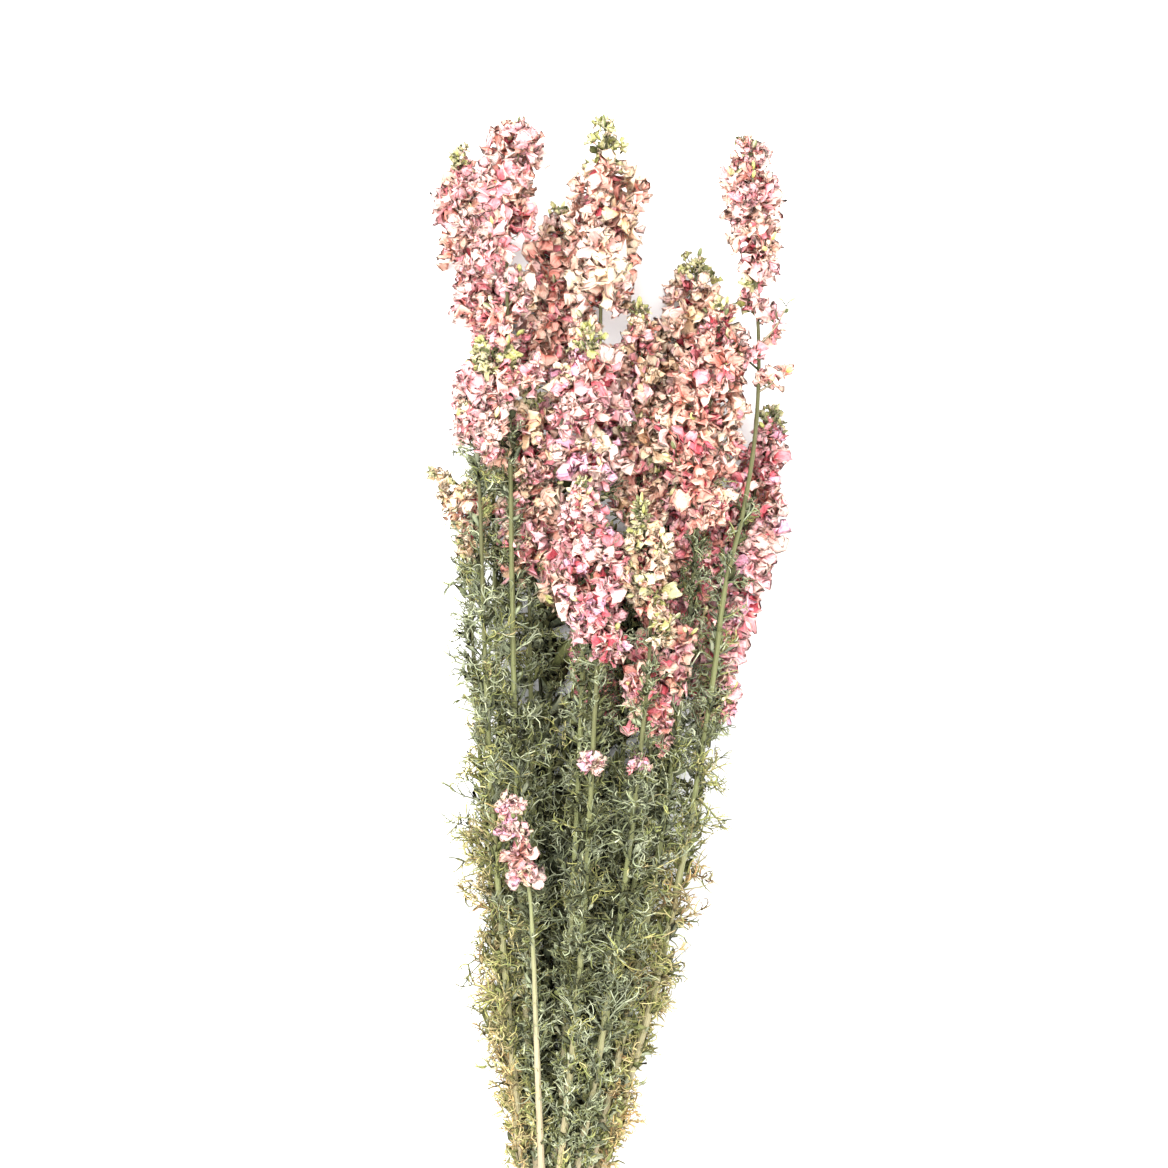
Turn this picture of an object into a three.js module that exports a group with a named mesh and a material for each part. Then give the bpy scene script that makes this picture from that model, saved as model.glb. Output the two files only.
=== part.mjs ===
// A bunch of dried delphinium that lies on a table. Every stalk is three pieces: its stem, the sleeve of
// feathery leaves round the lower stem, and the spike of flowers round the upper stem. A rubber band holds
// the stems together a little above their cut ends.
//
// X runs across the bunch, Y along it from the cut ends to the flower tips, and Z up from the table.
// While it is built, Y = 0 is the plane of the cut ends. At the end the whole group is moved so that the
// origin is the bottom centre of its bounding box.
//
// All pieces are lofted through flat sections at the same distances along the bunch. In each section every
// stalk keeps to its own cell, which ends half way to its neighbours, so that no two pieces meet.

import * as THREE from "three";

// ---- driving dimensions, in millimetres ----

const BUNCH_LENGTH = 790;
const HALF_SPREAD = 150; // from the middle line to the furthest flower tip
const BUNCH_HEIGHT = 118; // to the stem of the highest stalk

const TIE_AT = 45; // the middle of the rubber band
const LEAVES_FROM = 76; // the lower leaves are stripped below this
const SECTION_STEP = 50;

const STEM_FOOT_RADIUS = 2.9;
const STEM_TIP_RADIUS = 0.9;
const STEM_STOPS_SHORT = 7; // how far below the spike's tip its stem ends
const CUT_UNEVENNESS = 12; // the cut ends aren't level

const LEAF_RADIUS = 16;
const LEAF_START_RADIUS = 9;
const LEAF_END_RADIUS = 8;
const LEAF_SWELL = 110; // the length over which the leaves reach their full spread
const SPIKE_NECK = 0.5; // the spike's radius at its foot, as a share of its full radius
const SPIKE_CROWN = 0.42; // and just below its tip

const BAND_WIDTH = 11;
const BAND_THICKNESS = 2.2;
const BAND_CLEARANCE = 0.4;

const CLEARANCE = 0.4; // between a stem and the leaves or flowers round it
const WALL = 1.3; // least thickness of a sleeve of leaves or flowers
const GAP = 1.6; // between the cells of two neighbours
const STEM_GAP_AT_TIE = 0.6;

// ---- how the stalks fan out ----

const TIE_FILL = 0.66; // share of the tied bundle's section that is stem
const TIE_ASPECT = 1.3; // the bundle is a little wider than it is high
const TIE_LIFT = 2.5; // of the band above the table
const FOOT_FLARE = 1.45; // how far the cut ends spread again below the tie
const FAN_RATE = 2.2; // how early the stalks spread: higher is nearer the tie

// ---- resolution ----

const STEM_SIDES = 6;
const SLEEVE_SIDES = 2 * STEM_SIDES;
const BAND_SIDES = 24;
const SETTLING_ROUNDS = 80;

// Each stalk in three lines. The base and the tip of its spike are [across, along, rise]: a share of the
// half spread, of the length and of the height. Plump is the spike's radius in millimetres, leafy is how far
// up the leaves go as a share of the length, and a bow pushes the bare stem sideways, in millimetres.
const STALKS = [
  {
    name: "far_left_tall", plump: 16, leafy: 0.71,
    base: [-0.31, 0.825, 0.13], tip: [-0.455, 0.985, 0.13],
  },
  {
    name: "left_tall", plump: 17, leafy: 0.68,
    base: [-0.22, 0.907, 0.72], tip: [-0.165, 0.999, 0.7],
  },
  {
    name: "centre_low", plump: 20, leafy: 0.66,
    base: [-0.03, 0.79, 0.12], tip: [0.015, 0.934, 0.15],
  },
  {
    name: "centre_tall", plump: 19, leafy: 0.61,
    base: [0.205, 0.85, 0.52], tip: [0.225, 1.0, 0.6],
  },
  {
    name: "right_shoulder", plump: 20, leafy: 0.63,
    base: [0.6, 0.745, 0.12], tip: [0.645, 0.89, 0.17],
  },
  {
    name: "right_tall", plump: 15, leafy: 0.6, bow: 11,
    base: [0.885, 0.897, 0.6], tip: [0.865, 0.987, 0.62],
  },
  {
    name: "far_right", plump: 16, leafy: 0.49,
    base: [0.72, 0.528, 0.3], tip: [1.0, 0.757, 0.24],
  },
  {
    name: "front_upper", plump: 18, leafy: 0.56,
    base: [0.14, 0.698, 0.74], tip: [0.145, 0.822, 0.8],
  },
  {
    name: "front_lower", plump: 17, leafy: 0.5,
    base: [0.19, 0.562, 0.93], tip: [0.11, 0.692, 1.0],
  },
  {
    name: "left_short", plump: 16, leafy: 0.69,
    base: [-0.35, 0.735, 0.74], tip: [-0.31, 0.806, 0.76],
  },
  {
    name: "left_inner", plump: 21, leafy: 0.57,
    base: [-0.12, 0.62, 0.44], tip: [-0.12, 0.785, 0.52],
  },
  {
    name: "slender_pale", plump: 10, leafy: 0.49,
    base: [0.43, 0.583, 0.9], tip: [0.37, 0.674, 0.92],
  },
  {
    name: "right_inner", plump: 20, leafy: 0.61,
    base: [0.65, 0.688, 0.64], tip: [0.745, 0.845, 0.7],
  },
  {
    name: "right_low", plump: 19, leafy: 0.55,
    base: [0.6, 0.586, 0.36], tip: [0.62, 0.681, 0.36],
  },
  {
    name: "centre_back", plump: 20, leafy: 0.6,
    base: [0.375, 0.68, 0.38], tip: [0.375, 0.845, 0.44],
  },
  {
    name: "left_fringe", plump: 10, leafy: 0.6,
    base: [-0.4, 0.648, 0.48], tip: [-0.395, 0.692, 0.5],
  },
  {
    name: "low_back", plump: 19, leafy: 0.47,
    base: [0.2, 0.51, 0.12], tip: [0.24, 0.655, 0.13],
  },
  {
    name: "low_right", plump: 15, leafy: 0.46,
    base: [0.445, 0.491, 0.64], tip: [0.485, 0.595, 0.66],
  },
  {
    name: "front_sprig", plump: 8, leafy: 0.31,
    base: [-0.11, 0.34, 0.78], tip: [-0.22, 0.418, 0.8],
  },
];

const COLOURS = { stem: 0x8a9468, leaves: 0x7d8563, flowers: 0xd98f92, band: 0xc9a878 };

const lerp = THREE.MathUtils.lerp;
const apothem = Math.cos(Math.PI / STEM_SIDES); // how far a flat side of a stem is from its middle

// A repeatable number from 0 to 1 for each stalk.
const chance = (seed) => THREE.MathUtils.euclideanModulo(Math.sin(seed * 12.9898) * 43758.5453, 1);

// ---- the stalks' sizes ----

const stalks = STALKS.map((row, index) => {
  const foot = CUT_UNEVENNESS * chance(index + 1);
  const end = row.tip[1] * BUNCH_LENGTH;
  return {
    ...row,
    index,
    foot,
    spikeFrom: row.base[1] * BUNCH_LENGTH,
    spikeTo: end,
    stemTo: end - STEM_STOPS_SHORT,
    leavesTo: row.leafy * BUNCH_LENGTH,
    leafScale: lerp(0.85, 1.15, chance(index + 41)),
  };
});

// The stem tapers evenly from its foot to its tip.
function stemRadius(stalk, along) {
  const t = THREE.MathUtils.clamp((along - stalk.foot) / (stalk.stemTo - stalk.foot), 0, 1);
  return lerp(STEM_FOOT_RADIUS, STEM_TIP_RADIUS, t);
}

// How wide the stalk would be at a distance along the bunch if it had no neighbours.
function freeRadius(stalk, along) {
  if (along >= LEAVES_FROM && along <= stalk.leavesTo) {
    const swelling = Math.min(1, (along - LEAVES_FROM) / LEAF_SWELL);
    const fading = Math.min(1, (stalk.leavesTo - along) / LEAF_SWELL);
    const full = LEAF_RADIUS * stalk.leafScale;
    return Math.min(lerp(LEAF_START_RADIUS, full, swelling), lerp(LEAF_END_RADIUS, full, fading));
  }
  if (along >= stalk.spikeFrom && along <= stalk.spikeTo) {
    const t = (along - stalk.spikeFrom) / (stalk.spikeTo - stalk.spikeFrom);
    const belly = Math.sin(Math.PI * Math.pow(t, 0.8));
    const rest = lerp(SPIKE_NECK, SPIKE_CROWN, t);
    return stalk.plump * (rest + (1 - rest) * Math.sqrt(belly));
  }
  return stemRadius(stalk, along);
}

// ---- where each stalk runs ----

// 0 at the tie and 1 at the far end, rising quickly at first.
function fanShare(along) {
  const t = Math.max(0, along - TIE_AT) / (BUNCH_LENGTH - TIE_AT);
  return (1 - Math.exp(-FAN_RATE * t)) / (1 - Math.exp(-FAN_RATE));
}

// Pushes stems apart until each pair has its least distance, and keeps them off the table.
function settle(places, leastDistance, radiusOf) {
  for (let round = 0; round < SETTLING_ROUNDS; round++) {
    for (const a of places) {
      for (const b of places) {
        if (b.stalk.index <= a.stalk.index) continue;
        const apart = new THREE.Vector2().subVectors(b.at, a.at);
        const missing = leastDistance(a.stalk, b.stalk) - apart.length();
        if (missing <= 0) continue;
        const push = apart.normalize().multiplyScalar(missing / 2);
        a.at.sub(push);
        b.at.add(push);
      }
      a.at.y = Math.max(a.at.y, radiusOf(a.stalk) * apothem);
    }
  }
  return places;
}

// The bundle at the tie is a small copy of the fan, pressed together.
const tieHalfHeight = STEM_FOOT_RADIUS * Math.sqrt(stalks.length / (TIE_FILL * TIE_ASPECT));
const tieHalfWidth = tieHalfHeight * TIE_ASPECT;
const tieHeight = TIE_LIFT + BAND_THICKNESS + BAND_CLEARANCE + STEM_FOOT_RADIUS + tieHalfHeight;
const fanSides = stalks.map((stalk) => stalk.base[0]);
const fanMiddle = (Math.min(...fanSides) + Math.max(...fanSides)) / 2;
const fanHalfWidth = (Math.max(...fanSides) - Math.min(...fanSides)) / 2;

function tiePlace(stalk) {
  return new THREE.Vector2(
    (tieHalfWidth * (stalk.base[0] - fanMiddle)) / fanHalfWidth,
    tieHeight + tieHalfHeight * (2 * stalk.base[2] - 1),
  );
}

// Where the stalk would be at a distance along the bunch, before it makes room for its neighbours.
function wishedPlace(stalk, along, tie) {
  const base = new THREE.Vector2(stalk.base[0] * HALF_SPREAD, stalk.base[2] * BUNCH_HEIGHT);
  const tip = new THREE.Vector2(stalk.tip[0] * HALF_SPREAD, stalk.tip[2] * BUNCH_HEIGHT);
  if (along < TIE_AT) {
    const flare = lerp(FOOT_FLARE, 1, along / TIE_AT);
    return new THREE.Vector2(tie.x * flare, tieHeight + (tie.y - tieHeight) * flare);
  }
  if (along > stalk.spikeFrom) {
    const t = (along - stalk.spikeFrom) / (stalk.spikeTo - stalk.spikeFrom);
    return base.lerp(tip, t);
  }
  const place = tie.clone().lerp(base, fanShare(along) / fanShare(stalk.spikeFrom));
  if (stalk.bow && along > stalk.leavesTo) {
    const t = (along - stalk.leavesTo) / (stalk.spikeFrom - stalk.leavesTo);
    place.x += stalk.bow * Math.sin(Math.PI * t);
  }
  return place;
}

// The distances along the bunch at which everything has a section.
const stations = [0, TIE_AT, LEAVES_FROM];
while (stations.at(-1) < BUNCH_LENGTH) stations.push(stations.at(-1) + SECTION_STEP);

// How far apart two stems must be at a distance along the bunch.
function stemSpacing(along) {
  const sleeves = 2 * (CLEARANCE + WALL) + GAP;
  const share = THREE.MathUtils.smoothstep(along, TIE_AT, LEAVES_FROM);
  return lerp(STEM_GAP_AT_TIE, sleeves / apothem, share);
}

function settledAt(along, wished) {
  const places = stalks
    .filter((stalk) => along < stalk.spikeTo + SECTION_STEP)
    .map((stalk) => ({ stalk, at: wished(stalk) }));
  const least = (a, b) => (stemRadius(a, along) + stemRadius(b, along)) + stemSpacing(along);
  return settle(places, least, (stalk) => stemRadius(stalk, along));
}

const tied = new Map(settledAt(TIE_AT, tiePlace).map(({ stalk, at }) => [stalk, at]));
const sections = stations.map((along) => {
  const settled = settledAt(along, (stalk) => wishedPlace(stalk, along, tied.get(stalk)));
  return new Map(settled.map(({ stalk, at }) => [stalk, at]));
});

// The middle of the stem, which is straight between two stations.
function stemMiddle(stalk, along) {
  const next = Math.max(1, stations.findIndex((station) => station >= along));
  const t = (along - stations[next - 1]) / (stations[next] - stations[next - 1]);
  return sections[next - 1].get(stalk).clone().lerp(sections[next].get(stalk), t);
}

// ---- sections and lofts ----

const direction = (k, sides) => {
  const angle = (2 * Math.PI * k) / sides;
  return new THREE.Vector2(Math.cos(angle), Math.sin(angle));
};

// A regular section round the stem, as points in space.
function roundSection(stalk, along, radius, sides) {
  const middle = stemMiddle(stalk, along);
  return Array.from({ length: sides }, (_, k) => {
    const point = direction(k, sides).multiplyScalar(radius).add(middle);
    return new THREE.Vector3(point.x, along, point.y);
  });
}

// How far from the stem's middle the cell ends towards each neighbour, as { towards, limit }.
function cellLimits(stalk, along) {
  const middle = stemMiddle(stalk, along);
  const own = freeRadius(stalk, along);
  const core = stemRadius(stalk, along) + CLEARANCE + WALL;
  const isBeside = (other) => other !== stalk && along >= other.foot && along <= other.spikeTo;
  const limits = stalks.filter(isBeside).map((other) => {
    const towards = stemMiddle(other, along).sub(middle);
    const distance = towards.length();
    const theirs = freeRadius(other, along);
    const theirCore = stemRadius(other, along) + CLEARANCE + WALL;
    const fair = (distance * distance + own * own - theirs * theirs) / (2 * distance);
    const line = THREE.MathUtils.clamp(fair, core + GAP / 2, distance - theirCore - GAP / 2);
    return { towards: towards.normalize(), limit: line - GAP / 2 };
  });
  return [...limits, { towards: new THREE.Vector2(0, -1), limit: middle.y }];
}

// The stalk's leaves or flowers in section: as wide as they would grow, cut off at the cell's edges.
function cellSection(stalk, along) {
  const middle = stemMiddle(stalk, along);
  const limits = cellLimits(stalk, along);
  const free = freeRadius(stalk, along);
  return Array.from({ length: SLEEVE_SIDES }, (_, k) => {
    const out = direction(k, SLEEVE_SIDES);
    const reach = limits.reduce((least, { towards, limit }) => {
      const facing = towards.dot(out);
      return facing > 1e-6 ? Math.min(least, limit / facing) : least;
    }, free);
    const point = out.multiplyScalar(reach).add(middle);
    return new THREE.Vector3(point.x, along, point.y);
  });
}

// Collects triangles for one closed body.
class Skin {
  positions = [];

  triangle(a, b, c) {
    for (const point of [a, b, c]) this.positions.push(point.x, point.y, point.z);
  }

  // Joins rings of equal length into a tube wall. Its outside faces away from the middle unless inward.
  wall(rings, inward = false) {
    for (let i = 0; i + 1 < rings.length; i++) {
      const [near, far] = inward ? [rings[i + 1], rings[i]] : [rings[i], rings[i + 1]];
      near.forEach((a, k) => {
        const next = (k + 1) % near.length;
        this.triangle(a, far[k], near[next]);
        this.triangle(near[next], far[k], far[next]);
      });
    }
  }

  // Closes a ring to one point. The outside faces towards +Y if facingFar.
  close(ring, apex, facingFar) {
    ring.forEach((a, k) => {
      const b = ring[(k + 1) % ring.length];
      if (facingFar) this.triangle(b, a, apex);
      else this.triangle(a, b, apex);
    });
  }

  // The flat ring between a sleeve's outer edge and its bore, which has half as many points.
  annulus(outer, inner, facingFar) {
    inner.forEach((a, k) => {
      const b = inner[(k + 1) % inner.length];
      const [first, middle, last] = [0, 1, 2].map((step) => outer[(2 * k + step) % outer.length]);
      for (const [p, q, r] of [[a, first, middle], [a, middle, b], [b, middle, last]]) {
        if (facingFar) this.triangle(p, r, q);
        else this.triangle(p, q, r);
      }
    });
  }

  geometry() {
    const made = new THREE.BufferGeometry();
    made.setAttribute("position", new THREE.Float32BufferAttribute(this.positions, 3));
    made.computeVertexNormals();
    return made;
  }
}

// Both ends and every station between them.
const alongBetween = (from, to) => [from, ...stations.filter((s) => s > from + 1 && s < to - 1), to];

const pointAt = (stalk, along) => {
  const middle = stemMiddle(stalk, along);
  return new THREE.Vector3(middle.x, along, middle.y);
};

const boreSection = (stalk, along) =>
  roundSection(stalk, along, stemRadius(stalk, along) + CLEARANCE, STEM_SIDES);

// ---- the pieces ----

function stemGeometry(stalk) {
  const skin = new Skin();
  const rings = alongBetween(stalk.foot, stalk.stemTo).map((along) =>
    roundSection(stalk, along, stemRadius(stalk, along), STEM_SIDES),
  );
  skin.wall(rings);
  skin.close(rings[0], pointAt(stalk, stalk.foot), false);
  skin.close(rings.at(-1), pointAt(stalk, stalk.stemTo), true);
  return skin.geometry();
}

// A sleeve that the stem runs right through.
function leavesGeometry(stalk) {
  const skin = new Skin();
  const levels = alongBetween(LEAVES_FROM, stalk.leavesTo);
  const outer = levels.map((along) => cellSection(stalk, along));
  const bore = levels.map((along) => boreSection(stalk, along));
  skin.wall(outer);
  skin.wall(bore, true);
  skin.annulus(outer[0], bore[0], false);
  skin.annulus(outer.at(-1), bore.at(-1), true);
  return skin.geometry();
}

// A sleeve that closes to a point above the end of the stem.
function flowersGeometry(stalk) {
  const skin = new Skin();
  const boreEnd = stalk.stemTo + CLEARANCE;
  const outer = alongBetween(stalk.spikeFrom, stalk.stemTo).map((along) => cellSection(stalk, along));
  const bore = alongBetween(stalk.spikeFrom, stalk.stemTo).map((along) => boreSection(stalk, along));
  skin.wall(outer);
  skin.wall(bore, true);
  skin.annulus(outer[0], bore[0], false);
  skin.close(outer.at(-1), pointAt(stalk, stalk.spikeTo), true);
  skin.close(bore.at(-1), pointAt(stalk, boreEnd), false);
  return skin.geometry();
}

// The band follows the tightest outline round all the stems that it crosses.
function bandGeometry() {
  const edges = [TIE_AT - BAND_WIDTH / 2, TIE_AT, TIE_AT + BAND_WIDTH / 2];
  const support = Array.from({ length: BAND_SIDES }, (_, k) => {
    const out = direction(k, BAND_SIDES);
    const reaches = edges.flatMap((along) =>
      stalks.map((stalk) => stemMiddle(stalk, along).dot(out) + stemRadius(stalk, along)),
    );
    return Math.max(...reaches) + BAND_CLEARANCE;
  });
  // The corner where two neighbouring tangent lines of the outline meet.
  const outline = (offset) =>
    support.map((_, k) => {
      const [here, next] = [k, (k + 1) % BAND_SIDES];
      const [a, b] = [direction(here, BAND_SIDES), direction(next, BAND_SIDES)];
      const [p, q] = [support[here] + offset, support[next] + offset];
      const turn = a.cross(b);
      return new THREE.Vector2((p * b.y - q * a.y) / turn, (q * a.x - p * b.x) / turn);
    });
  const shape = new THREE.Shape(outline(BAND_THICKNESS));
  shape.holes.push(new THREE.Path(outline(0)));
  const made = new THREE.ExtrudeGeometry(shape, { depth: BAND_WIDTH, bevelEnabled: false });
  // The shape is drawn in X and Z: its depth turns to run along -Y, from the band's far edge.
  made.rotateX(Math.PI / 2);
  made.translate(0, TIE_AT + BAND_WIDTH / 2, 0);
  return made;
}

// ---- the bunch ----

const material = (name, roughness) =>
  new THREE.MeshStandardMaterial({ color: COLOURS[name], roughness, metalness: 0, name });

const materials = {
  stem: material("stem", 0.75),
  leaves: material("leaves", 0.9),
  flowers: material("flowers", 0.85),
  band: material("band", 0.55),
};

function piece(name, geometry, kind) {
  const mesh = new THREE.Mesh(geometry, materials[kind]);
  mesh.name = name;
  return mesh;
}

const bunch = new THREE.Group();
for (const stalk of stalks) {
  bunch.add(piece(`stem_${stalk.name}`, stemGeometry(stalk), "stem"));
  bunch.add(piece(`leaves_${stalk.name}`, leavesGeometry(stalk), "leaves"));
  bunch.add(piece(`flowers_${stalk.name}`, flowersGeometry(stalk), "flowers"));
}
bunch.add(piece("rubber_band", bandGeometry(), "band"));

const box = new THREE.Box3().setFromObject(bunch, true);
const centre = box.getCenter(new THREE.Vector3());
bunch.position.set(-centre.x, -centre.y, -box.min.z);

export default bunch;
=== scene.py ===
"""A bunch of dried delphinium that lies on a pale table, dressed round its CAD frame.

Every stalk is a ribbed stem, a crowd of curled, thread-like leaf segments and a spike of crumpled papery
flowers. Where each stalk runs, how far its leaves and its flowers may reach and where the rubber band sits
are all read from the frame, so nothing here repeats the CAD model's sizes.
"""

from __future__ import annotations

import logging
import math
from dataclasses import dataclass, field, fields
from enum import Enum

import bpy
import numpy as np
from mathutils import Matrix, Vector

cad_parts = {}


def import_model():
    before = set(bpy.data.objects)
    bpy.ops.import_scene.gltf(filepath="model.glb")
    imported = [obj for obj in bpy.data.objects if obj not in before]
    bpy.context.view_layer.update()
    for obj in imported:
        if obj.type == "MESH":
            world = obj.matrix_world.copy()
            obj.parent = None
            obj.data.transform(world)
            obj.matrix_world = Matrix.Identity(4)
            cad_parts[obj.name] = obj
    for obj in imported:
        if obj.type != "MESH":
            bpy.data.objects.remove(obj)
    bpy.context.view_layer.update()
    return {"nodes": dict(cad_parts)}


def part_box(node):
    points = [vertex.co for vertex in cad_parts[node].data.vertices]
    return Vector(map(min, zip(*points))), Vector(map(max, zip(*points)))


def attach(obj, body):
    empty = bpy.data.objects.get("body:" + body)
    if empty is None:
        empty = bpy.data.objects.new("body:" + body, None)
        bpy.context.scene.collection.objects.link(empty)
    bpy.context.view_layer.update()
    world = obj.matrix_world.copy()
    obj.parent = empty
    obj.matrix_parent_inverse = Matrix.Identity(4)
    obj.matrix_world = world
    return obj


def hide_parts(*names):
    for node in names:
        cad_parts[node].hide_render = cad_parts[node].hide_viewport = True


Array = np.ndarray
log = logging.getLogger("delphinium")

TAU = 2.0 * math.pi
MM = 0.001
GOLDEN_TURN = TAU * 0.381966  # the angle from one flower to the next round the spike
UV_NAME = "OFBake"
SHEET_THICKNESS = 0.14 * MM
SHORTEST = 1e-12  # the least length that a vector is divided by


# ---- numbers in space ----


def unit(vectors: Array) -> Array:
    """Scales vectors to length one.

    Args:
        vectors: Any number of vectors, in the last axis.

    Returns:
        The same vectors, each divided by its length.
    """
    return vectors / np.maximum(np.linalg.norm(vectors, axis=-1, keepdims=True), SHORTEST)


def square_to(vectors: Array, direction: Array) -> Array:
    """Turns vectors square to a direction: v - d * (v . d), scaled to length one.

    Args:
        vectors: Any number of vectors, in the last axis.
        direction: The unit vector that each one is made square to.

    Returns:
        Unit vectors square to the direction.
    """
    return unit(vectors - direction * (vectors * direction).sum(-1, keepdims=True))


def sideways(turn: Array) -> Array:
    """Directions across the bunch: (cos turn, 0, sin turn), from +X towards +Z.

    Args:
        turn: Angles round a stem.

    Returns:
        Unit vectors, one for each angle.
    """
    return np.stack([np.cos(turn), np.zeros(len(turn)), np.sin(turn)], axis=-1)


def ease(values: Array, low: float, high: float) -> Array:
    """Rises smoothly from 0 at low to 1 at high: with t the clipped share, t * t * (3 - 2 t).

    Args:
        values: Where to work it out.
        low: The value where the rise starts.
        high: The value where it ends.

    Returns:
        The eased share, from 0 to 1.
    """
    t = np.clip((np.asarray(values, dtype=float) - low) / (high - low), 0.0, 1.0)
    return t * t * (3.0 - 2.0 * t)


def lay_on_table(points: Array, softness: float) -> Array:
    """Presses points below the table onto it: height becomes softness * ln(1 + e^(z / softness)).

    Args:
        points: Points in space, in the last axis.
        softness: How far above the table the pressing starts to be felt.

    Returns:
        The points, all above the table.
    """
    pressed = points.copy()
    share = points[..., 2] / softness
    pressed[..., 2] = softness * np.logaddexp(0.0, share)
    return pressed


# ---- the frame ----


@dataclass(frozen=True)
class Stalk:
    """A stalk's stem as the frame gives it: its middle (x, z) and its radius at distances along the bunch."""

    name: str
    along: Array
    middles: Array
    radii: Array

    @classmethod
    def from_node(cls, name: str, node: bpy.types.Object) -> Stalk:
        """Reads a CAD stem. Each of its sections lies in a plane across the bunch.

        Args:
            name: The stalk's own name.
            node: The CAD stem.

        Returns:
            The stalk.
        """
        points = node_points(node)
        levels = np.unique(points[:, 1])
        rings = [points[points[:, 1] == level][:, [0, 2]] for level in levels]
        middles = np.array([ring.mean(axis=0) for ring in rings])
        radii = np.array(
            [np.linalg.norm(ring - middle, axis=1).max() for ring, middle in zip(rings, middles)]
        )
        return cls(name, levels, middles, radii)

    @property
    def foot(self) -> float:
        """Where the cut end is along the bunch."""
        return float(self.along[0])

    @property
    def top(self) -> float:
        """Where the stem ends along the bunch."""
        return float(self.along[-1])

    def points(self, along: Array) -> Array:
        """The middle of the stem, on a cubic through the frame's sections with their mean slopes.

        Args:
            along: Distances along the bunch.

        Returns:
            Points in space, one for each distance.
        """
        level = np.clip(along, self.foot, self.top)
        row = np.clip(np.searchsorted(self.along, level, side="right") - 1, 0, len(self.along) - 2)
        span = self.along[row + 1] - self.along[row]
        t = ((level - self.along[row]) / span)[..., None]
        slopes = np.gradient(self.middles, self.along, axis=0)
        start, end = self.middles[row], self.middles[row + 1]
        rise, fall = slopes[row] * span[..., None], slopes[row + 1] * span[..., None]
        hermite = (
            start * (2 * t**3 - 3 * t**2 + 1)
            + end * (3 * t**2 - 2 * t**3)
            + rise * (t**3 - 2 * t**2 + t)
            + fall * (t**3 - t**2)
        )
        return np.stack([hermite[..., 0], np.asarray(along, dtype=float), hermite[..., 1]], axis=-1)

    def tangents(self, along: Array) -> Array:
        """The stem's direction, from two points 2 mm apart.

        Args:
            along: Distances along the bunch.

        Returns:
            Unit vectors towards the flower tips.
        """
        return unit(self.points(along + MM) - self.points(along - MM))

    def radius(self, along: Array) -> Array:
        """The stem's radius at distances along the bunch."""
        return np.interp(along, self.along, self.radii)


@dataclass(frozen=True)
class Outline:
    """How wide the bunch of stems is at distances along it."""

    along: Array
    left: Array
    right: Array

    @classmethod
    def of_stalks(cls, stalks: list[Stalk], samples: int = 40) -> Outline:
        """Measures the outermost stems.

        Args:
            stalks: The stalks.
            samples: At how many distances.

        Returns:
            The outline.
        """
        low, high = min(stalk.foot for stalk in stalks), max(stalk.top for stalk in stalks)
        along = np.linspace(low, high, samples)
        across = np.array(
            [np.where(along <= stalk.top, stalk.points(along)[:, 0], np.nan) for stalk in stalks]
        )
        return cls(along, np.nanmin(across, axis=0), np.nanmax(across, axis=0))

    def aside(self, points: Array) -> Array:
        """How far out to the side points are: 0 in the middle and 1 at the outermost stem."""
        left = np.interp(points[:, 1], self.along, self.left)
        right = np.interp(points[:, 1], self.along, self.right)
        return np.abs(points[:, 0] - 0.5 * (left + right)) / (0.5 * (right - left))

    def share(self, points: Array) -> Array:
        """How far along the bunch points are, from 0 at the cut ends to 1 at the tips."""
        return (points[:, 1] - self.along[0]) / (self.along[-1] - self.along[0])


@dataclass(frozen=True)
class Sleeve:
    """The room that a CAD sleeve of leaves or flowers takes up round its stem, direction by direction."""

    along: Array
    reach: Array

    @classmethod
    def from_node(cls, stalk: Stalk, node: bpy.types.Object, directions: int = 12) -> Sleeve:
        """Reads a CAD sleeve: in each section, the furthest point in each direction from the stem.

        Args:
            stalk: The stem inside the sleeve.
            node: The CAD sleeve.
            directions: How many corners its outline has.

        Returns:
            The sleeve.
        """
        points = node_points(node)
        offsets = points - stalk.points(points[:, 1])
        distance = np.hypot(offsets[:, 0], offsets[:, 2])
        turn = np.arctan2(offsets[:, 2], offsets[:, 0])
        corner = np.rint(turn / TAU * directions).astype(int) % directions
        levels, section = np.unique(points[:, 1], return_inverse=True)
        reach = np.zeros((len(levels), directions))
        np.maximum.at(reach, (section, corner), distance)
        whole = (reach > 0.0).all(axis=1)
        return cls(levels[whole], reach[whole])

    def at(self, along: Array, turn: Array) -> Array:
        """How far the sleeve reaches, in proportion between the sections and corners on each side.

        Args:
            along: Distances along the bunch.
            turn: Angles round the stem, from +X towards +Z.

        Returns:
            Distances from the stem's middle.
        """
        rows, corners = self.reach.shape
        row = np.interp(along, self.along, np.arange(rows))
        low = np.minimum(row.astype(int), rows - 2)
        t = row - low
        column = (turn / TAU * corners) % corners
        left = column.astype(int) % corners
        s = column - np.floor(column)
        right = (left + 1) % corners
        near = self.reach[low, left] * (1 - s) + self.reach[low, right] * s
        far = self.reach[low + 1, left] * (1 - s) + self.reach[low + 1, right] * s
        return near * (1 - t) + far * t


def node_points(node: bpy.types.Object) -> Array:
    """The places where a CAD node has corners, each one once.

    Args:
        node: A CAD node.

    Returns:
        Points in space, rounded to a hundredth of a millimetre.
    """
    flat = np.empty(3 * len(node.data.vertices))
    node.data.vertices.foreach_get("co", flat)
    return np.unique(np.round(flat.reshape(-1, 3), 5), axis=0)


# ---- shader nodes ----


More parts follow.
